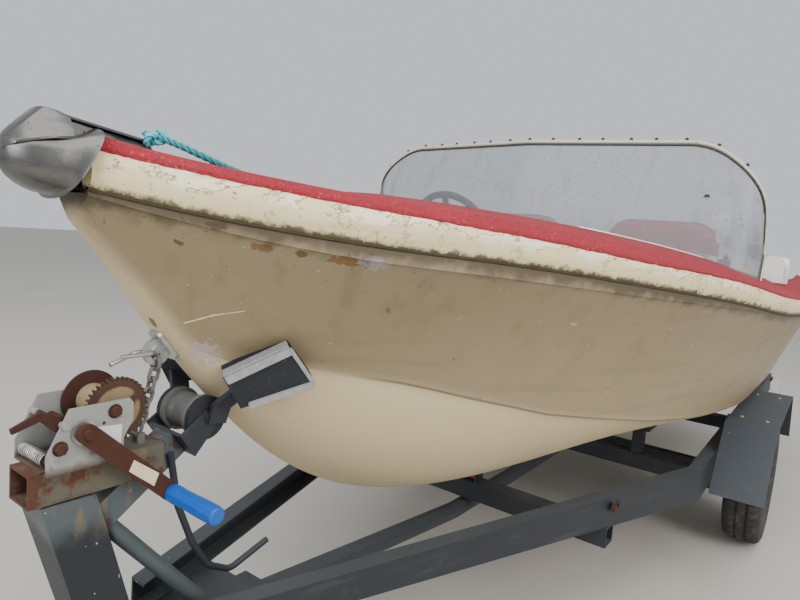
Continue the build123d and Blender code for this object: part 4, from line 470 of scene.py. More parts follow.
def winch_base_finish():
    look = Look("winch_base_rust")
    rust = look.tones((58, 30, 20), (98, 56, 34), 30.0, 6.0, 0.7)
    grey = look.tones((78, 86, 80), (108, 102, 82), 20.0, 5.0)
    bare = look.blots(0.47, 0.56, 13.0, 6.0, 0.65) * look.step(look.y, -1.575, -1.555)
    base = look.mix(bare * 0.8, rust, grey)
    base = base.coat(look.blots(0.60, 0.70, 36.0, 5.0) * 0.5, 130, 110, 60)
    return look.finish(base, 0.82, height=look.grain(90.0, 5.0) - bare * 0.5, strength=0.6, depth=0.0016)


def drum_finish():
    """Rusty flange, bare cream spool and a rusty toothed gear with a pale dished middle."""
    look = Look("winch_drum_finish")
    away = look.vector("SUBTRACT", look.place, (0.0, *DRUM))
    radius = look.vector("LENGTH", look.vector("MULTIPLY", away, (0.0, 1.0, 1.0)), output=1)
    flange = look.tones((48, 22, 18), (78, 38, 28), 40.0, 6.0, 0.7)
    gear = look.tones((46, 28, 19), (86, 58, 38), 36.0, 6.0, 0.7)
    spool = look.tones((168, 152, 118), (124, 104, 74), 24.0, 5.0)
    dish = look.tones((158, 144, 114), (106, 74, 44), 30.0, 6.0)
    gear = look.mix(look.step(radius, 0.037, 0.033) * look.blots(0.62, 0.48, 28.0, 5.0), gear, dish)
    base = look.mix(look.step(look.x, -0.0395, -0.0385), flange, spool)
    base = look.mix(look.step(look.x, 0.0255, 0.0265), base, gear)
    return look.finish(base, 0.78, 0.1, height=look.grain(200.0, 4.0), strength=0.5, depth=0.0008)


def galvanised(name, first, second, rust=0.0, rough=0.42, metal=0.75):
    look = Look(name)
    base = look.mix(look.cells(70.0), rgb(*first), rgb(*second))
    base = base.coat(look.grain(14.0, 5.0) * 0.6, 150, 152, 148)
    white = look.blots(0.60, 0.70, 46.0, 5.0, 0.7)
    base = base.coat(white * 0.4, 205, 205, 198)
    brown = look.blots(0.58, 0.68, 20.0, 6.0, 0.7)
    base = base.coat(brown * rust, 126, 78, 46)
    rough = rough + look.grain(30.0) * 0.25 + brown * rust * 0.3
    return look.finish(base, rough, metal, height=look.grain(90.0, 4.0), strength=0.2, depth=0.0006)


def winch_plates():
    """Dull zinc with brown streaks; the lever and the rods' middles are rusty."""
    look = Look("winch_zinc")
    base = look.tones((132, 134, 132), (160, 160, 156), 16.0, 5.0)
    base = base.coat(look.blots(0.58, 0.70, 46.0, 5.0, 0.7) * 0.4, 186, 186, 180)
    low = look.z + look.stray(0.02, 30.0, 5.0)
    edge = look.step(low, 0.738, 0.722).most(look.step(look.y + look.stray(0.03, 30.0, 5.0), -1.570, -1.592))
    brown = look.blots(0.60, 0.72, 24.0, 6.0, 0.7)
    base = base.coat((brown * 0.45).most(edge * 0.85), 84, 50, 30)
    lever = look.step(look.x, 0.0325, 0.0335) * look.step(look.x, 0.0415, 0.0405)
    middle = look.step(abs(look.x + look.stray(0.02, 30.0, 4.0)), 0.036, 0.028) * look.step(look.z, 0.732, 0.736)
    rust = look.tones((40, 20, 14), (78, 42, 27), 40.0, 6.0, 0.7)
    rusty = lever.most(middle)
    base = look.mix(rusty, base, rust)
    height = look.grain(90.0, 4.0) + rusty * 0.3
    return look.finish(base, 0.58 + rusty * 0.25, 0.2, height=height, strength=0.3, depth=0.0006)


def scuffed_roller():
    """Black rubber, its middle rubbed grey."""
    look = Look("scuffed_roller")
    base = look.tones((18, 20, 25), (34, 38, 45), 12.0, 5.0)
    rubbed = look.tones((66, 66, 66), (128, 126, 122), 20.0, 6.0, 0.7, pull=(3.0, 1.0, 1.0))
    middle = look.step(abs(look.x) + look.stray(0.006, 50.0, 4.0), 0.037, 0.034)
    base = look.mix(middle * 0.95, base, rubbed)
    scars = look.blots(0.64, 0.68, 60.0, 4.0)
    base = base.coat(scars * 0.5, 132, 130, 126)
    return look.finish(base, 0.75, height=look.grain(60.0, 4.0) - scars * 0.3, strength=0.3, depth=0.001)


def worn_casting():
    look = Look("worn_casting")
    base = look.tones((90, 89, 87), (120, 119, 116), 9.0, 5.0)
    scrapes = look.blots(0.50, 0.72, 1.0, 5.0, pull=(20.0, 6.0, 70.0))
    base = base.coat(scrapes * 0.6, 82, 82, 81)
    dull = look.blots(0.45, 0.62, 5.0, 5.0)
    pits = look.blots(0.64, 0.70, 120.0, 3.0)
    base = base.coat(pits * 0.6, 80, 80, 78)
    return look.finish(base, 0.26 + dull * 0.22 + scrapes * 0.12, 0.9, height=look.grain(30.0) - pits * 0.5,
                       strength=0.25, depth=0.0012)


def tyre_rubber():
    look = Look("tyre_rubber")
    base = look.tones((34, 34, 35), (58, 56, 54), 8.0, 5.0)
    base = base.coat(look.blots(0.50, 0.66, 16.0, 6.0, 0.7) * 0.4, 112, 104, 92)
    crazed = look.step(look.cells(120.0, "DISTANCE_TO_EDGE", look.warped(60.0, 0.01)), 0.05, 0.0)
    return look.finish(base, 0.85, height=look.grain(160.0, 3.0) - crazed * 0.6, strength=0.3, depth=0.0008)


def seat_vinyl():
    look = Look("seat_vinyl")
    base = look.tones((150, 50, 56), (172, 76, 80), 5.0, 4.0)
    base = base.coat(look.step(look.z, 1.19, 1.22) * look.blots(0.45, 0.6, 30.0, 5.0) * 0.6, 150, 146, 142)
    hide = look.cells(320.0, "DISTANCE_TO_EDGE", look.warped(90.0, 0.004))
    grimy = look.blots(0.55, 0.72, 12.0, 5.0)
    base = base.coat(grimy * 0.35, 104, 52, 50)
    return look.finish(base, 0.46 + grimy * 0.25, height=look.step(hide, 0.0, 0.12) + look.grain(40.0) * 0.3,
                       strength=0.35, depth=0.0008)


def dull_wood():
    look = Look("dull_wood")
    rings = look.grain(1.0, 6.0, 0.6, 1.2, pull=(3.0, 40.0, 30.0))
    base = look.mix(rings, rgb(104, 70, 42), rgb(158, 118, 78))
    base = base.coat(look.blots(0.55, 0.7, 40.0, 5.0) * 0.4, 70, 50, 34)
    return look.finish(base, 0.5 + rings * 0.2, height=rings, strength=0.25, depth=0.0008)


def carpet():
    look = Look("bunk_carpet")
    pile = look.grain(420.0, 2.0, 0.8)
    base = look.tones((34, 34, 37), (62, 61, 60), 10.0, 5.0)
    base = base.coat(look.step(pile, 0.55, 0.7) * 0.5, 96, 94, 90)
    return look.finish(base, 0.95, height=pile, strength=0.9, depth=0.0025)


def laid_rope(name, first, second, faded):
    look = Look(name)
    fibre = look.grain(1.0, 3.0, 0.7, pull=(520.0, 520.0, 520.0))
    base = look.tones(first, second, 24.0, 4.0)
    base = base.coat(look.step(fibre, 0.55, 0.72) * 0.6, *faded)
    base = base.coat(look.blots(0.60, 0.70, 50.0, 4.0) * 0.35, 20, 62, 66)
    return look.finish(base, 0.72, height=fibre, strength=0.7, depth=0.0008)


def ribbed_lens():
    look = Look("ribbed_lens")
    ribs = look.node("ShaderNodeTexWave", {"wave_type": "BANDS", "bands_direction": "X"},
                     {"Vector": look.place, "Scale": 60.0, "Distortion": 0.0})
    base = look.tones((140, 24, 20), (176, 40, 30), 20.0)
    amber = look.step(abs(look.x) - 0.530, 0.024, 0.026) * look.step(look.y, 2.0, 2.1)
    base = base.coat(amber, 206, 120, 30)
    return look.finish(base, 0.28, height=ribs, strength=0.3, depth=0.0012)


steel_bolt = galvanised("steel_bolt", (150, 150, 148), (176, 176, 172), 0.35)
rusty_bolt = rust_finish("rusty_bolt", (52, 26, 17), (84, 47, 30), (40, 21, 14), 90.0)
navy_paint = chipped_paint("fork_paint", (22, 27, 35), (34, 41, 51), 0.08, 0.25)
white_plastic = moulded("white_plastic", (222, 222, 218), (236, 236, 232), 0.35, (150, 146, 136), 0.45)
blank_label = moulded("blank_label", (206, 206, 204), (226, 226, 224), 0.55, (140, 132, 120), 0.5, 30.0)
bright_label = moulded("bright_label", (246, 247, 248), (252, 252, 252), 0.4, (226, 224, 220), 0.2, 12.0)
cream_label = moulded("cream_label", (206, 192, 160), (222, 212, 184), 0.6, (120, 84, 56), 0.6, 40.0)
bright_steel = galvanised("bright_steel", (196, 196, 194), (214, 214, 212), 0.05, 0.24, 0.95)
frame_paint = chipped_paint("frame_paint", (21, 25, 32), (33, 39, 47), 0.15, 0.40)
alloy_edge = galvanised("alloy_edge", (160, 163, 166), (186, 188, 190), 0.0, 0.5, 0.6)
dark_seal = edge_strip("dark_seal", (38, 35, 32), (62, 58, 52))
seat_finish = seat_vinyl()
rope_finish = laid_rope("laid_rope", (22, 112, 120), (40, 140, 146), (96, 190, 192))
knot_finish = laid_rope("faded_knot", (60, 168, 184), (96, 196, 206), (160, 222, 226))
deck_finish = dull_deck()
tyre_finish = tyre_rubber()

hull_finish = aged_gelcoat()
edge_finish = moulded_edge()
red_finish = red_nonskid()
screen_finish = hazy_acrylic()
strip_finish = edge_strip("pale_edge_strip", (176, 170, 154), (204, 198, 182))
grip_finish = moulded("blue_grip", (0, 70, 160), (0, 96, 190), 0.34, (10, 60, 120), 0.25, 20.0)
red_lens = moulded("red_lens", (150, 52, 60), (186, 92, 96), 0.3, (90, 30, 36), 0.3, 20.0)
casting_finish = worn_casting()
# Dark seam colour: dirt, and painted shade of the gap under the gunwale roll.
seam_finish = moulded("dirty_shaded_seam", (44, 36, 22), (78, 64, 40), 0.85, (112, 96, 62), 0.4, 30.0)
FINISHES = {
    "hull": hull_finish,
    "gunwale_port gunwale_starboard": edge_finish,
    "nonskid_strips": red_finish,
    "deck cockpit_coaming motor_well cockpit_floor seat_boxes": deck_finish,
    "windscreen": screen_finish,
    "windscreen_trim": strip_finish,
    "dashboard": dull_wood(),
    "steering_column steering_wheel": moulded("grey_wheel", (74, 74, 76), (110, 110, 112), 0.5),
    "seat_cushions seat_backs": seat_finish,
    "bow_casting": casting_finish,
    "side_lamps": moulded("lamp_body", (32, 30, 32), (52, 46, 46), 0.4),
    "tail_lamps": ribbed_lens(),
    "side_rails cross_members drawbar axle spring_hangers guard_straps": frame_paint,
    "bent_rod bow_fork": navy_paint,
    "spine_tube": chipped_paint("spine_paint", (44, 49, 56), (58, 64, 72), 0.15, 0.35),
    "mudguards": chipped_paint("guard_paint", (38, 43, 51), (52, 58, 66), 0.12, 0.3),
    "keel_rollers": moulded("red_roller", (128, 34, 34), (158, 56, 50), 0.7, (110, 92, 78), 0.5),
    "bunks": carpet(),
    "leaf_springs": rust_finish("spring_rust", (60, 42, 34), (94, 68, 52), (44, 34, 30)),
    "tyre_port tyre_starboard": tyre_finish,
    "rim_port rim_starboard": moulded(
        "rim_paint", (150, 150, 146), (176, 176, 170), 0.45, (112, 74, 48), 0.5, 12.0),
    "winch_base": winch_base_finish(),
    "winch_post": winch_post_paint(),
    "bow_roller": scuffed_roller(),
    "bow_pads": moulded("pad_rubber", (17, 21, 28), (28, 33, 41), 0.65, (84, 86, 88), 0.30, 12.0, depth=0.001),
    "winch_frame": winch_plates(),
    "winch_drum": drum_finish(),
    "winch_crank": rust_finish("crank_rust", (54, 26, 16), (82, 44, 28), (42, 21, 14), 36.0),
    "winch_grip": grip_finish,
    "bow_eye": galvanised("eye_steel", (176, 176, 172), (200, 200, 196), 0.1, 0.35, 0.9),
    "bow_chain": galvanised("chain_zinc", (70, 67, 60), (96, 92, 84), 0.45, 0.6, 0.3),
    "winch_hook": bright_steel,
    "coupling jockey_tube jockey_clamp jockey_leg jockey_fork": galvanised(
        "trailer_zinc", (140, 144, 146), (170, 172, 172), 0.2, 0.45, 0.6),
    "jockey_wheel": moulded("jockey_rubber", (34, 34, 34), (60, 58, 56), 0.8, (120, 112, 100), 0.45),
    "light_board side_fitting": white_plastic,
    "bow_rope rope_coil": rope_finish,
}
for names, material in FINISHES.items():
    for name in names.split():
        mesh = parts[name].data
        mesh.materials.clear()
        mesh.materials.append(material)


# Pieces


def shown(name, data):
    """A new object in the scene."""
    thing = bpy.data.objects.new(name, data)
    bpy.context.scene.collection.objects.link(thing)
    return thing


def piece(name, mesh, material, body="main"):
    """A finished mesh as an object that rides on a body."""
    mesh.materials.clear()
    mesh.materials.append(material)
    thing = shown(name, mesh)
    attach(thing, body)
    return thing


def smooth(mesh, angle=35.0):
    for face in mesh.polygons:
        face.use_smooth = True
    mesh.set_sharp_from_angle(angle=math.radians(angle))
    return mesh


def formed(name, shape, angle=None):
    """A built shape as a mesh, shaded smooth up to an angle if one is given."""
    mesh = bpy.data.meshes.new(name)
    shape.to_mesh(mesh)
    shape.free()
    return smooth(mesh, angle) if angle else mesh


def circle(count):
    """Cosine and sine of each of count steps round."""
    return [(math.cos(2 * math.pi * k / count), math.sin(2 * math.pi * k / count)) for k in range(count)]


def lathe(name, profile, segments=24):
    """Mesh turned about its own Z axis from (radius, height) points; the ends on the axis are closed."""
    shape = bmesh.new()
    rings = []
    for radius, height in profile:
        if radius < 1e-6:
            rings.append([shape.verts.new((0, 0, height))])
        else:
            rings.append([shape.verts.new((radius * c, radius * s, height)) for c, s in circle(segments)])
    for low, high in zip(rings, rings[1:]):
        for k in range(segments):
            corners = [low[k % len(low)], low[(k + 1) % len(low)], high[(k + 1) % len(high)], high[k % len(high)]]
            loop = list(dict.fromkeys(corners))
            if len(loop) > 2:
                shape.faces.new(loop)
    for ring in (rings[0], rings[-1]):
        if len(ring) > 1:
            shape.faces.new(ring)
    bmesh.ops.recalc_face_normals(shape, faces=shape.faces)
    return formed(name, shape, 35.0)


def standing_tree():
    """Geometry Nodes tree: a shape stands on every point, its Z along the point's own direction."""
    tree = bpy.data.node_groups.new("stand_on_points", "GeometryNodeTree")
    sockets = {}
    for label, kind in (("Geometry", "Geometry"), ("Shape", "Object"), ("Finish", "Material")):
        made = tree.interface.new_socket(label, in_out="INPUT", socket_type=f"NodeSocket{kind}")
        sockets[label] = made.identifier
    tree.interface.new_socket("Geometry", in_out="OUTPUT", socket_type="NodeSocketGeometry")
    source, result = tree.nodes.new("NodeGroupInput"), tree.nodes.new("NodeGroupOutput")
    shape, points = tree.nodes.new("GeometryNodeObjectInfo"), tree.nodes.new("GeometryNodeMeshToPoints")
    aim, spin = tree.nodes.new("GeometryNodeInputNamedAttribute"), tree.nodes.new("GeometryNodeInputNamedAttribute")
    aim.data_type, spin.data_type = "FLOAT_VECTOR", "FLOAT"
    aim.inputs["Name"].default_value, spin.inputs["Name"].default_value = "aim", "spin"
    turn = tree.nodes.new("FunctionNodeAlignRotationToVector")
    roll = tree.nodes.new("FunctionNodeAxisAngleToRotation")
    turn.axis = "Z"
    roll.inputs["Axis"].default_value = (0, 0, 1)
    rotate = tree.nodes.new("FunctionNodeRotateRotation")
    rotate.rotation_space = "LOCAL"
    place, real = tree.nodes.new("GeometryNodeInstanceOnPoints"), tree.nodes.new("GeometryNodeRealizeInstances")
    paint = tree.nodes.new("GeometryNodeSetMaterial")
    for start, end in (
        (source.outputs["Geometry"], points.inputs["Mesh"]), (source.outputs["Shape"], shape.inputs["Object"]),
        (points.outputs[0], place.inputs["Points"]), (shape.outputs["Geometry"], place.inputs["Instance"]),
        (aim.outputs["Attribute"], turn.inputs["Vector"]), (spin.outputs["Attribute"], roll.inputs["Angle"]),
        (turn.outputs[0], rotate.inputs[0]), (roll.outputs[0], rotate.inputs[1]),
        (rotate.outputs[0], place.inputs["Rotation"]), (place.outputs[0], real.inputs[0]),
        (real.outputs[0], paint.inputs["Geometry"]),
        (source.outputs["Finish"], paint.inputs["Material"]), (paint.outputs[0], result.inputs[0]),
    ):
        tree.links.new(start, end)
    return tree, sockets


stand_tree, stand_sockets = standing_tree()


def plain_mesh(thing, name):
    """The evaluated object as a mesh of its own; the object itself goes."""
    bpy.context.view_layer.update()
    evaluated = thing.evaluated_get(bpy.context.evaluated_depsgraph_get())
    mesh = bpy.data.meshes.new_from_object(evaluated)
    mesh.name = name
    bpy.data.objects.remove(thing)
    return mesh


def fasteners(name, shape, spots, material, body="main"):
    """The shape on every (place, direction) of a body, as one piece."""
    carrier = bpy.data.meshes.new(name)
    carrier.from_pydata([tuple(spot) for spot, _ in spots], [], [])
    carrier.attributes.new("aim", "FLOAT_VECTOR", "POINT")
    carrier.attributes.new("spin", "FLOAT", "POINT")
    for k, (_, way) in enumerate(spots):
        carrier.attributes["aim"].data[k].vector = Vector(way).normalized()
        carrier.attributes["spin"].data[k].value = chance.uniform(0, math.pi)
    holder, model = shown(name, carrier), shown(name + "_model", shape)
    stand = holder.modifiers.new("stand", "NODES")
    stand.node_group = stand_tree
    stand[stand_sockets["Shape"]] = model
    stand[stand_sockets["Finish"]] = material
    mesh = plain_mesh(holder, name)
    bpy.data.objects.remove(model)
    return piece(name, smooth(mesh), material, body)


WASHER_THICK = 0.0016


def hex_head(width, height, washer=0.0):
    """Hexagon head with a chamfered top, on a washer if it has one."""
    shape = bmesh.new()
    base = WASHER_THICK if washer else 0.0
    shoulder = base + 0.8 * height
    r = width / math.sqrt(3)
    layers = [(20, 0.0, base, washer, washer)] if washer else []
    layers += [(6, base, shoulder, r, r), (6, shoulder, base + height, r, 0.86 * r)]
    for sides, bottom, top, foot, head in layers:
        bmesh.ops.create_cone(shape, cap_ends=True, segments=sides, radius1=foot, radius2=head, depth=top - bottom,
                              matrix=Matrix.Translation((0, 0, (top + bottom) / 2)))
    return formed("hex_head", shape)


def dome(radius, height):
    profile = ((radius, 0.0), (radius * 0.96, height * 0.4), (radius * 0.7, height * 0.82), (0, height))
    return lathe("dome", profile, 14)


def tube_mesh(path, radius, sides=8, closed=False):
    """Mesh tube along points, with a frame carried smoothly along it."""
    path = [Vector(point) for point in path]
    count = len(path)
    shape = bmesh.new()
    rings = []
    side = None
    for k, point in enumerate(path):
        ahead_of = path[(k + 1) % count] if closed or k < count - 1 else point
        behind = path[k - 1] if closed or k else point
        run = (ahead_of - behind).normalized()
        if side is None:
            side = run.orthogonal().normalized()
        side = (side - run * side.dot(run)).normalized()
        other = run.cross(side)
        rings.append([shape.verts.new(point + radius * (c * side + s * other)) for c, s in circle(sides)])
    pairs = list(zip(rings, rings[1:])) + ([(rings[-1], rings[0])] if closed else [])
    for first, second in pairs:
        shift = 0
        if closed and second is rings[0]:
            shift = min(range(sides), key=lambda s: (first[0].co - second[s].co).length)
        for j in range(sides):
            after, across, beyond = (j + 1) % sides, (j + shift) % sides, (j + 1 + shift) % sides
            shape.faces.new((first[j], first[after], second[beyond], second[across]))
    if not closed:
        shape.faces.new(rings[0])
        shape.faces.new(rings[-1])
    bmesh.ops.recalc_face_normals(shape, faces=shape.faces)
    return formed("tube", shape, 60.0)


def join(name, meshes):
    """Several meshes as one."""
    shape = bmesh.new()
    for mesh in meshes:
        shape.from_mesh(mesh)
    return formed(name, shape, 60.0)


def patch(name, corners, material, proud=0.0006, body="main", names=()):
    """Thin sheet between four corners (place, normal), laid on a curved surface."""
    cuts = 6
    shape = bmesh.new()
    grid = []
    for i in range(cuts + 1):
        row = []
        for j in range(cuts + 1):
            u, v = i / cuts, j / cuts
            weights = ((1 - u) * (1 - v), u * (1 - v), u * v, (1 - u) * v)
            place = sum((Vector(c[0]) * w for c, w in zip(corners, weights)), Vector())
            normal = sum((Vector(c[1]) * w for c, w in zip(corners, weights)), Vector()).normalized()
            for near in names:
                hit = surface(near).ray_cast(place + normal * 0.03, -normal, 0.06)
                if hit[0] is not None:
                    place = hit[0]
            row.append(shape.verts.new(place + normal * proud))
        grid.append(row)
    for i in range(cuts):
        for j in range(cuts):
            shape.faces.new((grid[i][j], grid[i + 1][j], grid[i + 1][j + 1], grid[i][j + 1]))
    bmesh.ops.recalc_face_normals(shape, faces=shape.faces)
    facing = sum((Vector(c[1]) for c in corners), Vector())
    if sum((face.normal for face in shape.faces), Vector()).dot(facing) < 0:
        bmesh.ops.reverse_faces(shape, faces=shape.faces)
    bmesh.ops.solidify(shape, geom=shape.faces[:], thickness=0.0005)
    return piece(name, formed(name, shape), material, body)


# Mooring rope: one spline along the deck and round its coil, with three laid strands


def rope_points():
    """Control points of the route, then those of the coil's two layers of turns."""
    points = list(ROPE_ROUTE)
    centre = Vector(COIL_CENTRE)
    start = math.atan2(ROPE_ROUTE[-1][1] - centre.y, ROPE_ROUTE[-1][0] - centre.x)
    per_turn = 14
    for layer, radii in enumerate((COIL_RADII[::-1], COIL_RADII)):
        for turn, radius in enumerate(radii):
            after = radii[turn + 1] if turn + 1 < len(radii) else radius
            for k in range(per_turn):
                share = k / per_turn
                angle = start + 2 * math.pi * share
                if layer == 0 and turn == 0 and k == 0:
                    continue
                r = (radius + (after - radius) * share) * 1.01
                lift = ROPE_THICK * (0.55 + layer)
                if layer == 0 and turn + 1 == len(radii):
                    lift += ROPE_THICK * share * share
                x, y = centre.x + r * math.cos(angle), centre.y + r * math.sin(angle)
                points.append((x, y, centre.z + COIL_SLOPE * (y - centre.y) + lift))
    return points


def spline_points(name, points):
    """Points read along a smooth NURBS spline through the route."""
    curve = bpy.data.curves.new(name, "CURVE")
    curve.dimensions = "3D"
    spline = curve.splines.new("NURBS")
    spline.points.add(len(points) - 1)
    for point, spot in zip(spline.points, points):
        point.co = (*spot, 1.0)
    spline.order_u = 3
    spline.use_endpoint_u = True
    spline.resolution_u = 8
    return [vertex.co.copy() for vertex in plain_mesh(shown(name, curve), name).vertices]


def resample(path, pitch):
    lengths = [0.0]
    for a, b in zip(path, path[1:]):
        lengths.append(lengths[-1] + (b - a).length)
    count = max(2, round(lengths[-1] / pitch))
    made, k = [], 0
    for i in range(count + 1):
        want = lengths[-1] * i / count
        while k < len(lengths) - 2 and lengths[k + 1] < want:
            k += 1
        step = lengths[k + 1] - lengths[k]
        made.append(path[k].lerp(path[k + 1], (want - lengths[k]) / step if step else 0.0))
    return made, lengths[-1]


def strands(name, path, thick, lay, pitch=0.0022, sides=7):
    """Three strands twisted along a path, as one mesh."""
    path, length = resample(path, pitch)
    side = None
    lines = ([], [], [])
    for k, point in enumerate(path):
        run = (path[min(k + 1, len(path) - 1)] - path[max(k - 1, 0)]).normalized()
        side = run.orthogonal().normalized() if side is None else (side - run * side.dot(run)).normalized()
        other = run.cross(side)
        for j, line in enumerate(lines):
            angle = 2 * math.pi * (j / 3 + k / (len(path) - 1) * length / lay)
            line.append(point + thick * 0.27 * (math.cos(angle) * side + math.sin(angle) * other))
    return join(name, [tube_mesh(line, thick * 0.25, sides) for line in lines]), length, path


rope_line = spline_points("rope_route", rope_points())
rope_mesh, rope_length, rope_path = strands("mooring_rope", rope_line, ROPE_THICK, 0.034)
mooring_rope = piece("mooring_rope", rope_mesh, rope_finish, "main")
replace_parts(mooring_rope, "bow_rope", "rope_coil")


def knot_mesh(name, centre, size, thick):
    """A loose overhand lump of the rope where it is made fast."""
    loop = []
    for k in range(90):
        t = 2 * math.pi * k / 90
        x, y = math.sin(t) + 2 * math.sin(2 * t), math.cos(t) - 2 * math.cos(2 * t)
        lump = Vector((x, y, -1.3 * math.sin(3 * t)))
        loop.append(Vector(centre) + Matrix.Rotation(0.5, 3, "X") @ lump * size)
    mesh, _, _ = strands(name, loop + loop[:2], thick, 0.03, 0.0018, 6)
    return mesh


rope_knot = piece("rope_knot", knot_mesh("rope_knot", (0.030, -1.400, 1.203), 0.0052, 0.0095), knot_finish, "main")

# Gunwale moulding, its covering and the hull's top band


def smooth_at(table, y):
    """Height or breadth read from a (Y, value) table by monotone cubic steps."""
    y = min(max(y, table[0][0]), table[-1][0])
    k = max(i for i in range(len(table) - 1) if table[i][0] <= y)
    rise = [(b[1] - a[1]) / (b[0] - a[0]) for a, b in zip(table, table[1:])]
    slopes = [rise[0]]
    for before, after in zip(rise, rise[1:]):
        slopes.append(0.0 if before * after <= 0 else 2 * before * after / (before + after))
    slopes.append(rise[-1])
    step = table[k + 1][0] - table[k][0]
    t = (y - table[k][0]) / step
    return (
        (2 * t**3 - 3 * t**2 + 1) * table[k][1] + (t**3 - 2 * t**2 + t) * step * slopes[k]
        + (3 * t**2 - 2 * t**3) * table[k + 1][1] + (t**3 - t**2) * step * slopes[k + 1]
    )


ROLL_WIDE, ROLL_HIGH = 0.112, 0.072
ROLL_SIDE = ((-0.016, 0.002), (-0.005, -0.003), (0.001, -0.002), (0.0055, 0.003), (0.009, 0.011), (0.0105, 0.021),
             (0.0095, 0.031), (0.006, 0.040), (0.001, 0.047), (-0.005, 0.0515))
BEAD = ((0.003, -0.004), (0.004, 0.004), (0.001, 0.008), (-0.003, 0.008), (-0.005, 0.003), (-0.005, -0.004))
BEAD_FROM, BEAD_TO = -0.72, -0.20


def gunwale_section(y):
    """Half-breadth, low edge, crown (x, z), inner edge (x, z) and the solid's own sheer at Y."""
    half, low = smooth_at(HALF_BREADTH, y), smooth_at(SHEER, y)
    inner = (half - ROLL_WIDE + math.hypot(half - ROLL_WIDE, 0.050)) / 2
    share = (half - inner) / ROLL_WIDE
    top = low + ROLL_HIGH
    blend = min(1.0, max(0.0, (y + 1.28) / 0.18))
    rise = -0.003 + (0.032 * half / 0.79 + 0.003) * blend * blend * (3 - 2 * blend)
    return half, low, (half - 0.036 * share, top), (inner, top + rise), smooth_at(SOLID_SHEER, y)


def skin(name, sides, angle=40.0, loop=False):
    """Mesh over lists of closed rings; each list is capped at both ends, or runs on round to its start."""
    shape = bmesh.new()
    for rings in sides:
        made = [[shape.verts.new(point) for point in ring] for ring in rings]
        for low, high in zip(made, made[1:] + made[:1] if loop else made[1:]):
            for k in range(len(low)):
                after = (k + 1) % len(low)
                shape.faces.new((low[k], low[after], high[after], high[k]))
        if not loop:
            shape.faces.new(made[0])
            shape.faces.new(made[-1])
    bmesh.ops.recalc_face_normals(shape, faces=shape.faces)
    return formed(name, shape, angle)


def wander(count, size, hold):
    """Smooth random steps, for a ragged edge."""
    knots = [chance.uniform(-size, size) for _ in range(count // hold + 3)]
    steps = [(k // hold, k % hold / hold) for k in range(count)]
    return [knots[knot] * (1 - share) + knots[knot + 1] * share for knot, share in steps]


stops_along = [-1.506 + 3.919 * (k / 259) ** 1.35 for k in range(260)]
roll_sides, cover_sides, band_sides, bead_sides, seam_lines = [], [], [], [], []
for sign in (1, -1):
    ragged = wander(len(stops_along), 0.0011, 1)
    rolls, covers, bands, beads, seams = [], [], [], [], []
    for y, slip in zip(stops_along, ragged):
        half, low, crown, inner, solid = gunwale_section(y)
        line = [(half + x, low + z) for x, z in ROLL_SIDE]
        line += [crown, inner, (inner[0] - 0.001, solid + 0.056), (half - 0.016, solid + 0.040)]
        rolls.append([(sign * x, y, z) for x, z in line])
        side = (*ROLL_SIDE[-4:], (crown[0] - half, ROLL_HIGH))
        edge = smooth_at(COVER_LOW, y) + slip
        cover = []
        for share, proud in ((0.0, 0.0008), (0.05, 0.0040), (0.30, 0.0046), (0.65, 0.0046)):
            rise = edge + (ROLL_HIGH - edge) * share
            first, second = [pair for pair in zip(side, side[1:]) if pair[0][1] <= rise][-1]
            part = (rise - first[1]) / (second[1] - first[1])
            out = half + first[0] + (second[0] - first[0]) * part
            cover.append((out + 0.6 * proud, low + rise + 0.8 * proud))
        cover += [(crown[0] + x, crown[1] + z) for x, z in ((0.005, 0.0030), (-0.003, 0.0052))]
        cover += [(inner[0] + x, inner[1] + z) for x, z in (
            (0.004, 0.0044), (0.0, 0.002), (-0.002, -0.004), (0.004, -0.003))]
        cover += [(crown[0], crown[1] - 0.003), (half - 0.010, low + 0.050)]
        covers.append([(sign * x, y, z) for x, z in cover])
        bands.append([(sign * x, y, z) for x, z in (
            (half + 0.0012, solid - 0.004), (half + 0.0012, max(low, solid) + 0.002),
            (half - 0.006, max(low, solid) + 0.002), (half - 0.006, solid - 0.004))])
        seams.append(Vector((sign * (half + 0.0015), y, low - 0.0015)))
        if BEAD_FROM < y < BEAD_TO:
            beads.append([(sign * (inner[0] - 0.004 + x), y, inner[1] + z) for x, z in BEAD])
    for sides, rings in ((roll_sides, rolls), (cover_sides, covers), (band_sides, bands), (bead_sides, beads)):
        sides.append(rings)
    seam_lines.append(tube_mesh(resample(seams, 0.02)[0], 0.0030, 6))
gunwale_roll = piece("gunwale_roll", skin("gunwale_roll", roll_sides), edge_finish)
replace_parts(gunwale_roll, "gunwale_port", "gunwale_starboard")
covering = piece("nonskid_covering", skin("nonskid_covering", cover_sides, 60.0), red_finish)
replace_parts(covering, "nonskid_strips")
piece("hull_top_band", skin("hull_top_band", band_sides), hull_finish)
# Dark dirty seam tube under the gunwale roll, also standing in as painted shade of the gap there.
piece("gunwale_seam", join("gunwale_seam", seam_lines), seam_finish)
piece("deck_edge_bead", skin("deck_edge_bead", bead_sides), deck_finish)

# Windscreen: bent raked sheet with round corners, its edge strip, seal, studs and blank stickers


def boat_top(x, y):
    """Height of the gunwale or the deck at a place."""
    half, low, crown, inner, _ = gunwale_section(y)
    if abs(x) > inner[0]:
        share = min(1.0, max(0.0, (crown[0] - abs(x)) / (crown[0] - inner[0])))
        return crown[1] + share * (inner[1] - crown[1]) + 0.003
    hit = surface("deck").ray_cast(Vector((x, y, 1.6)), Vector((0, 0, -1)))
    return hit[0].z if hit[0] is not None else 1.045


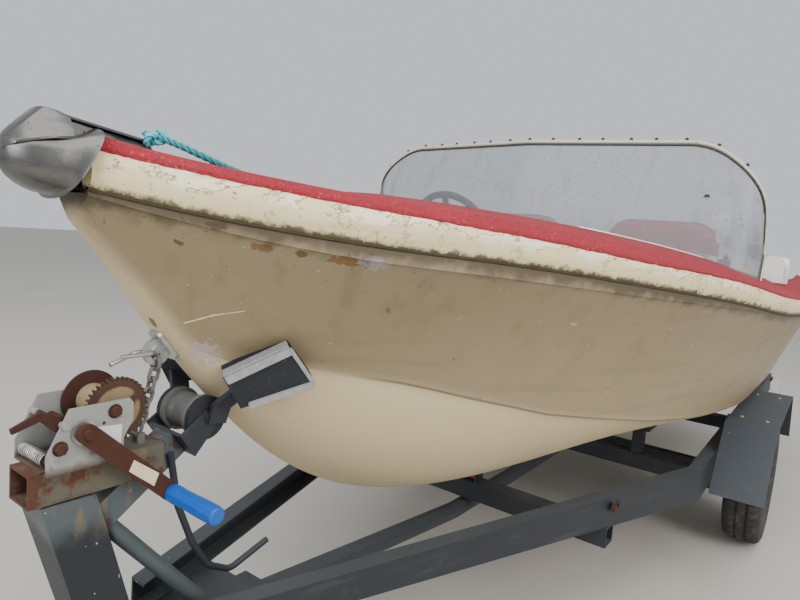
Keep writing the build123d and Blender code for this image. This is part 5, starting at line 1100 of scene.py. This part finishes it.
def rounded_plan(step=0.012):
    """The screen's plan line with its bends rounded, starboard to port."""
    corners = [Vector(point) for point in SCREEN_PLAN]
    line = [corners[0]]
    for before, corner, after in zip(corners, corners[1:], corners[2:]):
        run_in, run_out = (corner - before).normalized(), (after - corner).normalized()
        turn = math.acos(max(-1.0, min(1.0, run_in.dot(run_out))))
        cut = SCREEN_BEND * math.tan(turn / 2)
        start, end = corner - run_in * cut, corner + run_out * cut
        for k in range(9):
            share = k / 8
            line.append(start.lerp(corner, share).lerp(corner.lerp(end, share), share))
    line.append(corners[-1])
    made = []
    for a, b in zip(line, line[1:]):
        count = max(1, round((b - a).length / step))
        made += [a.lerp(b, k / count) for k in range(count)]
    return made + [line[-1]]


def length_between(line, first, last):
    low, high = sorted((first, last))
    return sum((line[k + 1] - line[k]).length for k in range(low, high))


def plan_reach(line):
    """How far out each plan point counts: its own length along the front, less and less along the bend and wing."""
    middle = min(range(len(line)), key=lambda k: abs(line[k].x))
    made = []
    for k in range(len(line)):
        end = 0 if k < middle else len(line) - 1
        run, whole = length_between(line, middle, k), length_between(line, middle, end)
        front = SCREEN_PACE * min(run, SCREEN_FRONT)
        part = max(0.0, run - SCREEN_FRONT) / (whole - SCREEN_FRONT)
        first = SCREEN_PACE * (whole - SCREEN_FRONT)
        made.append(front + first * part + (SCREEN_REACH - SCREEN_PACE * SCREEN_FRONT - first) * part**2)
    return made


def screen_top(k, inset=0.0):
    """Height of the screen's edge at a plan point: level, with round corners."""
    over = min(1.0, max(0.0, plan_far[k] - (SCREEN_REACH - SCREEN_ACROSS)) / SCREEN_ACROSS)
    return SCREEN_TOP - inset - (SCREEN_DROP - inset) * (1 - math.sqrt(1 - over**2))


def on_screen(spot, z):
    return Vector((spot.x, spot.y + (z - SCREEN_FOOT) * SCREEN_RAKE, z))


plan_line = rounded_plan()
plan_far = plan_reach(plan_line)
sheet = bmesh.new()
columns, feet = [], []
for place, spot in enumerate(plan_line):
    foot = boat_top(spot.x, spot.y + 0.03) - 0.004
    feet.append(foot)
    top_z = screen_top(place)
    levels = [foot + (top_z - foot) * k / SCREEN_ROWS for k in range(SCREEN_ROWS + 1)]
    columns.append([sheet.verts.new(on_screen(spot, level_z)) for level_z in levels])
for first, second in zip(columns, columns[1:]):
    for k in range(SCREEN_ROWS):
        sheet.faces.new((first[k], second[k], second[k + 1], first[k + 1]))
surfaces["screen_sheet"] = BVHTree.FromBMesh(sheet)
bmesh.ops.solidify(sheet, geom=sheet.faces[:], thickness=SCREEN_THICK)
bmesh.ops.recalc_face_normals(sheet, faces=sheet.faces)
screen_sheet = piece("screen_sheet", formed("screen_sheet", sheet, 40.0), screen_finish)
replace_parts(screen_sheet, "windscreen")


def screen_line(inset):
    """The screen's edge, an inset in from it: up the starboard end, over the top, down to port."""
    kept = [k for k, spot in enumerate(plan_line)
            if min((spot - plan_line[0]).length, (spot - plan_line[-1]).length) >= inset]
    line = [on_screen(plan_line[k], screen_top(k, inset)) for k in kept]
    first, last = plan_line[kept[0]], plan_line[kept[-1]]
    down_to = [feet[0] + (line[0].z - feet[0]) * k / 12 for k in range(12)]
    rise_to = [feet[-1] + (line[-1].z - feet[-1]) * k / 12 for k in range(12)]
    if line[0].z - feet[0] < 0.002:
        return line
    return [on_screen(first, z) for z in down_to] + line + [on_screen(last, z) for z in reversed(rise_to)]


edge_run, _ = resample(screen_line(0.0), 0.008)
strip = piece("screen_edge_strip", tube_mesh(edge_run, STRIP_RADIUS, 10), strip_finish)
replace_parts(strip, "windscreen_trim")
seal_run, _ = resample(screen_line(SEAL_INSET), 0.008)
seal_run = [point + Vector((0, -0.002, 0)) for point in seal_run]
piece("screen_seal", tube_mesh(seal_run, SEAL_RADIUS, 8), dark_seal)
stud_spots = []
for j in range(STUDS):
    x = -STUD_REACH + 2 * STUD_REACH * j / (STUDS - 1)
    k = min(range(1, len(plan_line) - 1), key=lambda i: abs(plan_line[i].x - x))
    before, here, after = (on_screen(plan_line[i], screen_top(i)) for i in (k - 1, k, k + 1))
    run = (after - before).normalized()
    rise = Vector((0, SCREEN_RAKE, 1.0)).normalized()
    way = (rise - run * rise.dot(run)).normalized()
    stud_spots.append((here + way * 0.0055, way))
stud = lathe("stud", ((0.0056, 0.0), (0.0056, 0.002), (0.0030, 0.0026), (0.0030, 0.0046), (0.0048, 0.0056),
                      (0.0046, 0.0074), (0.0024, 0.0088), (0, 0.0090)), 14)
fasteners("screen_studs", stud, stud_spots, dark_seal)
for k, corners in enumerate((
    ((714, 212), (743, 218.5), (743, 240), (714.5, 229)), ((715, 230.5), (743, 241.5), (743.5, 255), (716.5, 243)),
    ((744.5, 219), (760, 222.5), (760.5, 243), (745, 240.5)), ((745, 242), (760.5, 245), (760.5, 262), (746, 256)),
    ((762, 213), (765.5, 215), (765.5, 266), (762, 262)),
)):
    patch(f"screen_sticker_{k + 1}", [seen(px, py, "screen_sheet") for px, py in corners],
          bright_label, proud=STICKER_PROUD, names=("screen_sheet",))
screw_spot, screw_way = seen(707, 197, "screen_sheet")
screw = lathe("bolt", ((0.009, 0), (0.009, 0.002), (0.006, 0.003), (0.006, 0.007), (0, 0.0075)), 16)
fasteners("screen_bolt", screw, [(screw_spot + screw_way * STICKER_PROUD, screw_way)], dark_seal)


def block(name, centre, size, turn=None, bevel=0.0015):
    """Bevelled box about a centre, turned if asked."""
    shape = bmesh.new()
    bmesh.ops.create_cube(shape, size=1.0, matrix=Matrix.Diagonal((*size, 1.0)))
    bmesh.ops.bevel(shape, geom=shape.edges[:], offset=bevel, segments=2, affect="EDGES")
    place = Matrix.Translation(centre) @ (turn or Matrix()).to_4x4()
    bmesh.ops.transform(shape, matrix=place, verts=shape.verts)
    return formed(name, shape, 40.0)


def bar(name, start, end, out, width, thick):
    """Flat bar from start to end, its broad face towards out."""
    start, end, out = Vector(start), Vector(end), Vector(out).normalized()
    run = (end - start).normalized()
    across_it = out.cross(run).normalized()
    frame_turn = Matrix((run, across_it, run.cross(across_it))).transposed()
    size = ((end - start).length, width, thick)
    return block(name, (start + end) / 2, size, frame_turn, min(thick, width) * 0.3)


lens_meshes = [block("lens", (sign * 0.598, 0.0600, 1.066), (0.036, 0.006, 0.046)) for sign in (1, -1)]
piece("lamp_lenses", join("lamp_lenses", lens_meshes), red_lens)

# Winch: bolts, labels, spring and grip

bolt_spots = [(seen(px, py, "winch_frame")[0], (1, 0, 0)) for px, py in ((115, 411), (60, 449))]
bolt_spots += [(Vector((FAR_PLATE_X, spot.y, spot.z)), (-1, 0, 0)) for spot, _ in bolt_spots]
fasteners("winch_bolts", hex_head(0.015, 0.007, 0.0105), bolt_spots, rusty_bolt)
hole_spot = seen(104, 423, "winch_frame")[0]
hole = lathe("hole", ((0.0026, 0), (0.0026, 0.0004), (0, 0.0004)), 12)
fasteners("plate_hole", hole, [(hole_spot, (1, 0, 0))], dark_seal)
for name, node, body, label, corners in (
    ("plate_label", "winch_frame", "main", blank_label, ((97, 427), (122, 424), (121, 443), (99, 437))),
    ("arm_label", "winch_crank", "crank", cream_label, ((134, 460), (159, 473), (154, 486), (129, 471.5))),
):
    patch(name, [seen(px, py, node) for px, py in corners], label, body=body)
washer = lathe("washer", ((0.0095, 0.0), (0.0175, 0.0), (0.0175, 0.0022), (0.0095, 0.0022)), 24)
fasteners("hub_washers", washer, [((CRANK_HUB_X, *CRANK_SHAFT), (1, 0, 0))], bright_steel)
fasteners("crank_boss", dome(0.0085, 0.004), [((CRANK_BOSS_X, *CRANK_SHAFT), (1, 0, 0))], rusty_bolt, "crank")
coil = []
for k in range(241):
    angle = k / 240 * 2 * math.pi * SPRING_TURNS
    coil.append((-0.044 + 0.072 * k / 240, SPRING_AXIS[0] + SPRING_RADIUS * math.cos(angle),
                 SPRING_AXIS[1] + SPRING_RADIUS * math.sin(angle)))
piece("pawl_spring", tube_mesh(coil, 0.0013, 6), bright_steel)
grip_rings = []
for x, radius in (
    (0.0665, 0.0100), (0.0668, 0.0135), (0.072, 0.0150), (0.084, 0.0150), (0.090, 0.0142), (0.115, 0.0142),
    (0.140, 0.0148), (0.160, 0.0150), (0.174, 0.0147), (0.182, 0.0138), (0.1848, 0.0112), (0.1855, 0.004),
):
    flute = 0.06 if 0.089 < x < 0.18 else 0.0
    ring = []
    for k in range(60):
        angle = 2 * math.pi * k / 60
        r = radius * (1 - flute * (0.5 + 0.5 * math.cos(10 * angle)) ** 3)
        ring.append((x, GRIP_AXIS[0] + r * math.cos(angle), GRIP_AXIS[1] + r * math.sin(angle)))
    grip_rings.append(ring)
fluted_grip = piece("fluted_grip", skin("fluted_grip", [grip_rings], 30.0), grip_finish, "crank")
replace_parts(fluted_grip, "winch_grip")

# Bow pads: alloy angle along their edges

pad_bars = []
for sign in (1, -1):
    out = Vector((sign * PAD_OUTWARD.x, PAD_OUTWARD.y, PAD_OUTWARD.z)).normalized()
    corners = []
    for x, y, z in PAD_CORNERS:
        centre = Vector((sign * PAD_MIDDLE[0], *PAD_MIDDLE[1:]))
        point = centre + (Vector((sign * x, y, z)) - centre) * 0.97
        hit = surface("bow_pads").ray_cast(point + out * 0.08, -out, 0.14)
        corners.append(hit[0] if hit[0] is not None else point)
    top_left, top_right, low_right, low_left = corners
    up = (top_left - low_left).normalized()
    for name, start, end, rise, proud, face, width, thick in (
        ("pad_top", top_left, top_right, -0.004, 0.0015, out, 0.018, 0.005),
        ("pad_lip", top_left, top_right, 0.006, -0.006, up, 0.022, 0.003),
        ("pad_low", low_left.lerp(low_right, 0.10), low_right, 0.0, 0.0015, out, 0.013, 0.005),
        ("pad_end", low_right, top_right, 0.0, 0.001, out, 0.007, 0.004),
    ):
        shift = up * rise + out * proud
        pad_bars.append(bar(name, start + shift, end + shift, face, width, thick))
piece("pad_edges", join("pad_edges", pad_bars), alloy_edge)

# Bow casting: scuffed shell round the gunwale's end, folded hood and the strap running aft

shell_rings = []
for y, half, low, high, slant in (
    (-1.5975, 0.004, 1.146, 1.160, 0.0), (-1.594, 0.017, 1.134, 1.168, 0.0), (-1.585, 0.029, 1.124, 1.173, 0.02),
    (-1.572, 0.040, 1.116, 1.177, 0.06), (-1.556, 0.049, 1.110, 1.180, 0.14), (-1.540, 0.056, 1.107, 1.183, 0.26),
    (-1.528, 0.061, 1.106, 1.189, 0.36), (-1.519, 0.066, 1.104, 1.195, 0.42), (-1.514, 0.070, 1.101, 1.1985, 0.46),
    (-1.5125, 0.0715, 1.100, 1.1995, 0.46), (-1.5120, 0.0685, 1.103, 1.1980, 0.46),
    (-1.518, 0.0620, 1.108, 1.1925, 0.42),
):
    ring = []
    for k in range(48):
        angle = 2 * math.pi * k / 48
        side, rise = math.cos(angle), math.sin(angle)
        x = half * math.copysign(abs(side) ** (0.55 if rise > 0 else 0.85), side)
        middle = low + (high - low) * 0.62
        z = middle + (high - middle) * rise**0.5 if rise > 0 else middle - (middle - low) * abs(rise) ** 0.8
        z += (half - abs(x)) * 0.05 if rise > 0 else 0.0
        ring.append((x, y + slant * (z - 1.150), z))
    shell_rings.append(ring)
hood_rings = []
for y, foot, ridge, base_z, top_z in (
    (-1.5965, 0.012, 0.006, 1.160, 1.1735), (-1.588, 0.028, 0.012, 1.166, 1.184),
    (-1.570, 0.038, 0.015, 1.172, 1.203), (-1.553, 0.044, 0.018, 1.177, 1.2190),
    (-1.549, 0.045, 0.019, 1.178, 1.2200), (-1.536, 0.046, 0.024, 1.179, 1.2165),
    (-1.523, 0.044, 0.026, 1.182, 1.2125),
):
    hood_rings.append([(x, y, z) for x, z in (
        (foot, base_z), (foot, base_z + 0.003), (ridge + 0.004, top_z - 0.004), (ridge, top_z - 0.0005),
        (0.0, top_z + 0.001), (-ridge, top_z - 0.0005), (-ridge - 0.004, top_z - 0.004),
        (-foot, base_z + 0.003), (-foot, base_z), (0.0, base_z - 0.004))])
strap_rings = []
for k in range(9):
    y = -1.526 + 0.132 * k / 8
    z, wide = 1.2130 - 0.0150 * k / 8, 0.028 - 0.004 * k / 8
    strap_rings.append([(x, y, z + dz) for x, dz in (
        (wide, -0.004), (wide, -0.001), (wide - 0.003, 0.0), (-wide + 0.003, 0.0), (-wide, -0.001), (-wide, -0.004),
        (-wide + 0.002, -0.0042), (wide - 0.002, -0.0042))])
plate_rings = []
for k in range(9):
    y = -1.530 + 0.128 * k / 8
    top_z, wide = 1.2062 - 0.0120 * k / 8, 0.044 - 0.010 * k / 8
    foot_z = 1.176 + 0.006 * k / 8
    plate_rings.append([(x, y, z) for x, z in (
        (wide, foot_z), (wide - 0.016, top_z - 0.001), (wide - 0.019, top_z), (-wide + 0.019, top_z),
        (-wide + 0.016, top_z - 0.001), (-wide, foot_z))])
casting_form = skin("casting_form", [shell_rings, hood_rings, strap_rings, plate_rings], 28.0)
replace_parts(piece("casting_form", casting_form, casting_finish), "bow_casting")
rivets = [(Vector((0.0, -1.505 + 0.045 * k, 1.2110 - 0.0051 * k)), (0, 0.11, 1)) for k in range(3)]
fasteners("strap_rivets", dome(0.0035, 0.0016), rivets, steel_bolt)

# Wheels: tyres with their grooves, and wheel nuts

TREAD_HALF = ((0.1275, -0.052), (0.136, -0.0600), (0.160, -0.0665), (0.190, -0.0680), (0.215, -0.0660),
              (0.232, -0.0600), (0.2405, -0.0500), (0.2435, -0.0440), (0.2435, -0.0210), (0.2365, -0.0200),
              (0.2365, -0.0140), (0.2445, -0.0130))
TREAD = (*TREAD_HALF, (0.2450, 0.0), *((radius, -across) for radius, across in reversed(TREAD_HALF)))
TREAD_STEPS, SIPE_DEPTH = 192, 0.0045
NUTS, NUT_CIRCLE, NUT_FACE = 5, 0.0560, 0.0175
for side, sign in (("port", 1), ("starboard", -1)):
    wheel = f"wheel_{side}"
    rings = []
    for k, (c, s) in enumerate(circle(TREAD_STEPS)):
        ring = []
        for radius, across in TREAD:
            if k % 4 == 0 and radius > 0.2400 and abs(across) > 0.0205:
                radius -= SIPE_DEPTH
            ring.append((sign * WHEEL_X + across, AXLE_Y + radius * c, AXLE_Z + radius * s))
        rings.append(ring)
    tyre_mesh = skin(f"treaded_tyre_{side}", [rings], 30.0, True)
    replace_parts(piece(f"treaded_tyre_{side}", tyre_mesh, tyre_finish, wheel), f"tyre_{side}")
    nuts = [((sign * (WHEEL_X + NUT_FACE), AXLE_Y + NUT_CIRCLE * c, AXLE_Z + NUT_CIRCLE * s), (sign, 0, 0))
            for c, s in circle(NUTS)]
    fasteners(f"wheel_nuts_{side}", hex_head(0.019, 0.014), nuts, steel_bolt, wheel)

# Seats: padded cushions and backs with piping


PAD_SHARE = 0.985


def pillow(name, low, high, crown, corner, facing):
    """Crowned pad in a box, its face bulging along one axis (0, 1 or 2)."""
    size = [b - a for a, b in zip(low, high)]
    axes = [k for k in range(3) if k != facing]
    shape = bmesh.new()
    bmesh.ops.create_cube(shape, size=1.0)
    bmesh.ops.subdivide_edges(shape, edges=shape.edges[:], cuts=22, use_grid_fill=True)
    for vert in shape.verts:
        u, v = vert.co[axes[0]] * 2, vert.co[axes[1]] * 2
        depth = vert.co[facing] * 2
        a, b = size[axes[0]] / 2, size[axes[1]] / 2
        x, y = u * a, v * b
        over_x, over_y = max(0.0, abs(x) - (a - corner)), max(0.0, abs(y) - (b - corner))
        far = math.hypot(over_x, over_y)
        if far > corner:
            x = math.copysign(a - corner + over_x * corner / far, x)
            y = math.copysign(b - corner + over_y * corner / far, y)
        rim = max(abs(u), abs(v))
        swell = (1 - u**2) * (1 - v**2)
        pulled = 1 + 0.012 * (1 - depth**2)
        thick = size[facing] / 2
        z = depth * (thick - crown * rim**6) if rim > 0 else depth * thick
        z += math.copysign(crown * 0.9 * swell, depth) * abs(depth)
        vert.co[axes[0]], vert.co[axes[1]] = x * pulled * PAD_SHARE, y * pulled * PAD_SHARE
        vert.co[facing] = z
    mid = Vector([(a + b) / 2 for a, b in zip(low, high)])
    bmesh.ops.transform(shape, matrix=Matrix.Translation(mid), verts=shape.verts)
    return formed(name, shape, 60.0)


def piping(low, high, corner, facing, at):
    """Cord round a pad's edge, at a share of its depth."""
    axes = [k for k in range(3) if k != facing]
    a, b = [(high[k] - low[k]) / 2 for k in axes]
    mid = [(low[k] + high[k]) / 2 for k in range(3)]
    line = []
    for quarter, (sx, sy) in enumerate(((1, 1), (-1, 1), (-1, -1), (1, -1))):
        for k in range(9):
            angle = math.pi / 2 * (quarter + k / 8)
            point = list(mid)
            point[axes[0]] += sx * (a - corner) + corner * math.cos(angle)
            point[axes[1]] += sy * (b - corner) + corner * math.sin(angle)
            point[facing] = low[facing] + at * (high[facing] - low[facing])
            line.append(Vector(point))
    path, _ = resample(line + line[:1], 0.02)
    return tube_mesh(path[:-1], 0.0042, 6, True)


cushions, backs = [], []
for x in (-0.305, 0.305):
    low, high = (x - 0.198, 0.192, 0.8006), (x + 0.198, 0.588, 0.8880)
    cushions += [pillow("cushion", low, high, 0.010, 0.045, 2), piping(low, high, 0.045, 2, 0.82),
                 piping(low, high, 0.045, 2, 0.15)]
    low, high = (x - 0.193, 0.508, 0.8910), (x + 0.193, 0.588, 1.2130)
    backs += [pillow("back", low, high, 0.008, 0.080, 1), piping(low, high, 0.080, 1, 0.15),
              piping(low, high, 0.080, 1, 0.85)]
for name, meshes, node in (("padded_cushions", cushions, "seat_cushions"), ("padded_backs", backs, "seat_backs")):
    pads = piece(name, join(name, meshes), seat_finish)
    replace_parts(pads, node)

# Small trailer fasteners: spring bolts, cross-member bolts along the rails, and guard bolts

RAIL_HALF, RAIL_BEND, RAIL_TAPER, RAIL_TAPER_LONG = 0.605, 0.144, 0.515, 1.487
bolts = []
for sign in (1, -1):
    for y in (0.535, 1.055):
        bolts.append(((sign * 0.6135, y, 0.300), (sign, 0, 0)))
    for y in (-0.270, 0.470, 1.380, 2.290):
        half_rail = RAIL_HALF - max(0.0, RAIL_BEND - y) / RAIL_TAPER_LONG * RAIL_TAPER
        bolts += [((sign * half_rail, y + dy, 0.402), (sign, 0, 0)) for dy in (-0.018, 0.018)]
fasteners("trailer_bolts", hex_head(0.016, 0.008, 0.0125), bolts, rusty_bolt)
guard_bolts = [((sign * WHEEL_X + dx, y, 0.5312), (0, 0, 1))
               for sign in (1, -1) for y in (0.555, 1.035) for dx in (-0.04, 0.04)]
fasteners("guard_bolts", dome(0.008, 0.004), guard_bolts, steel_bolt)

# Camera, pale floor and soft studio light

camera_data = bpy.data.cameras.new("camera")
camera_data.sensor_width, camera_data.lens = SENSOR_WIDE, FOCAL * SENSOR_WIDE / FRAME_WIDE
camera_data.clip_start = 0.01
camera = shown("camera", camera_data)
camera.matrix_world = Matrix.Translation(EYE) @ Matrix((right, -below, -ahead)).transposed().to_4x4()
bpy.context.scene.camera = camera


def studio_paint(name, first, second, rough):
    look = Look(name)
    base = look.tones(first, second, 1.2, 4.0)
    return look.finish(base, rough, height=look.grain(30.0), strength=0.05)


def area_light(name, place, target, size, power, colour):
    data = bpy.data.lights.new(name, "AREA")
    data.shape, data.size, data.size_y = "RECTANGLE", *size
    data.energy, data.color = power, colour
    lamp = shown(name, data)
    aim = (Vector(target) - Vector(place)).to_track_quat("-Z", "Y")
    lamp.matrix_world = Matrix.Translation(place) @ aim.to_matrix().to_4x4()
    return lamp


FLOOR_HALF = 30
floor_mesh = bpy.data.meshes.new("floor")
floor_corners = [(x * FLOOR_HALF, y * FLOOR_HALF, -0.001) for x, y in ((-1, -1), (1, -1), (1, 1), (-1, 1))]
floor_mesh.from_pydata(floor_corners, [], [(0, 1, 2, 3)])
floor_mesh.materials.append(studio_paint("studio_floor", (182, 178, 170), (192, 188, 180), 0.9))
floor = shown("floor", floor_mesh)
world = bpy.data.worlds.new("studio")
world.use_nodes = True
sky = world.node_tree.nodes["Background"].inputs
sky["Color"].default_value, sky["Strength"].default_value = (0.82, 0.86, 0.92, 1), 0.85
bpy.context.scene.world = world
stage = [
    camera, floor,
    area_light("sky_panel", (1.5, -2.0, 6.0), (0, 0, 0.5), (7, 7), 440, (1.0, 0.99, 0.97)),
    area_light("key_panel", (6.0, -1.5, 3.6), (0, -0.2, 0.8), (3.5, 3.5), 230, (1.0, 0.97, 0.92)),
    area_light("bow_panel", (0.5, -7.0, 3.0), (0, -0.5, 0.8), (4, 3), 175, (0.93, 0.96, 1.0)),
]
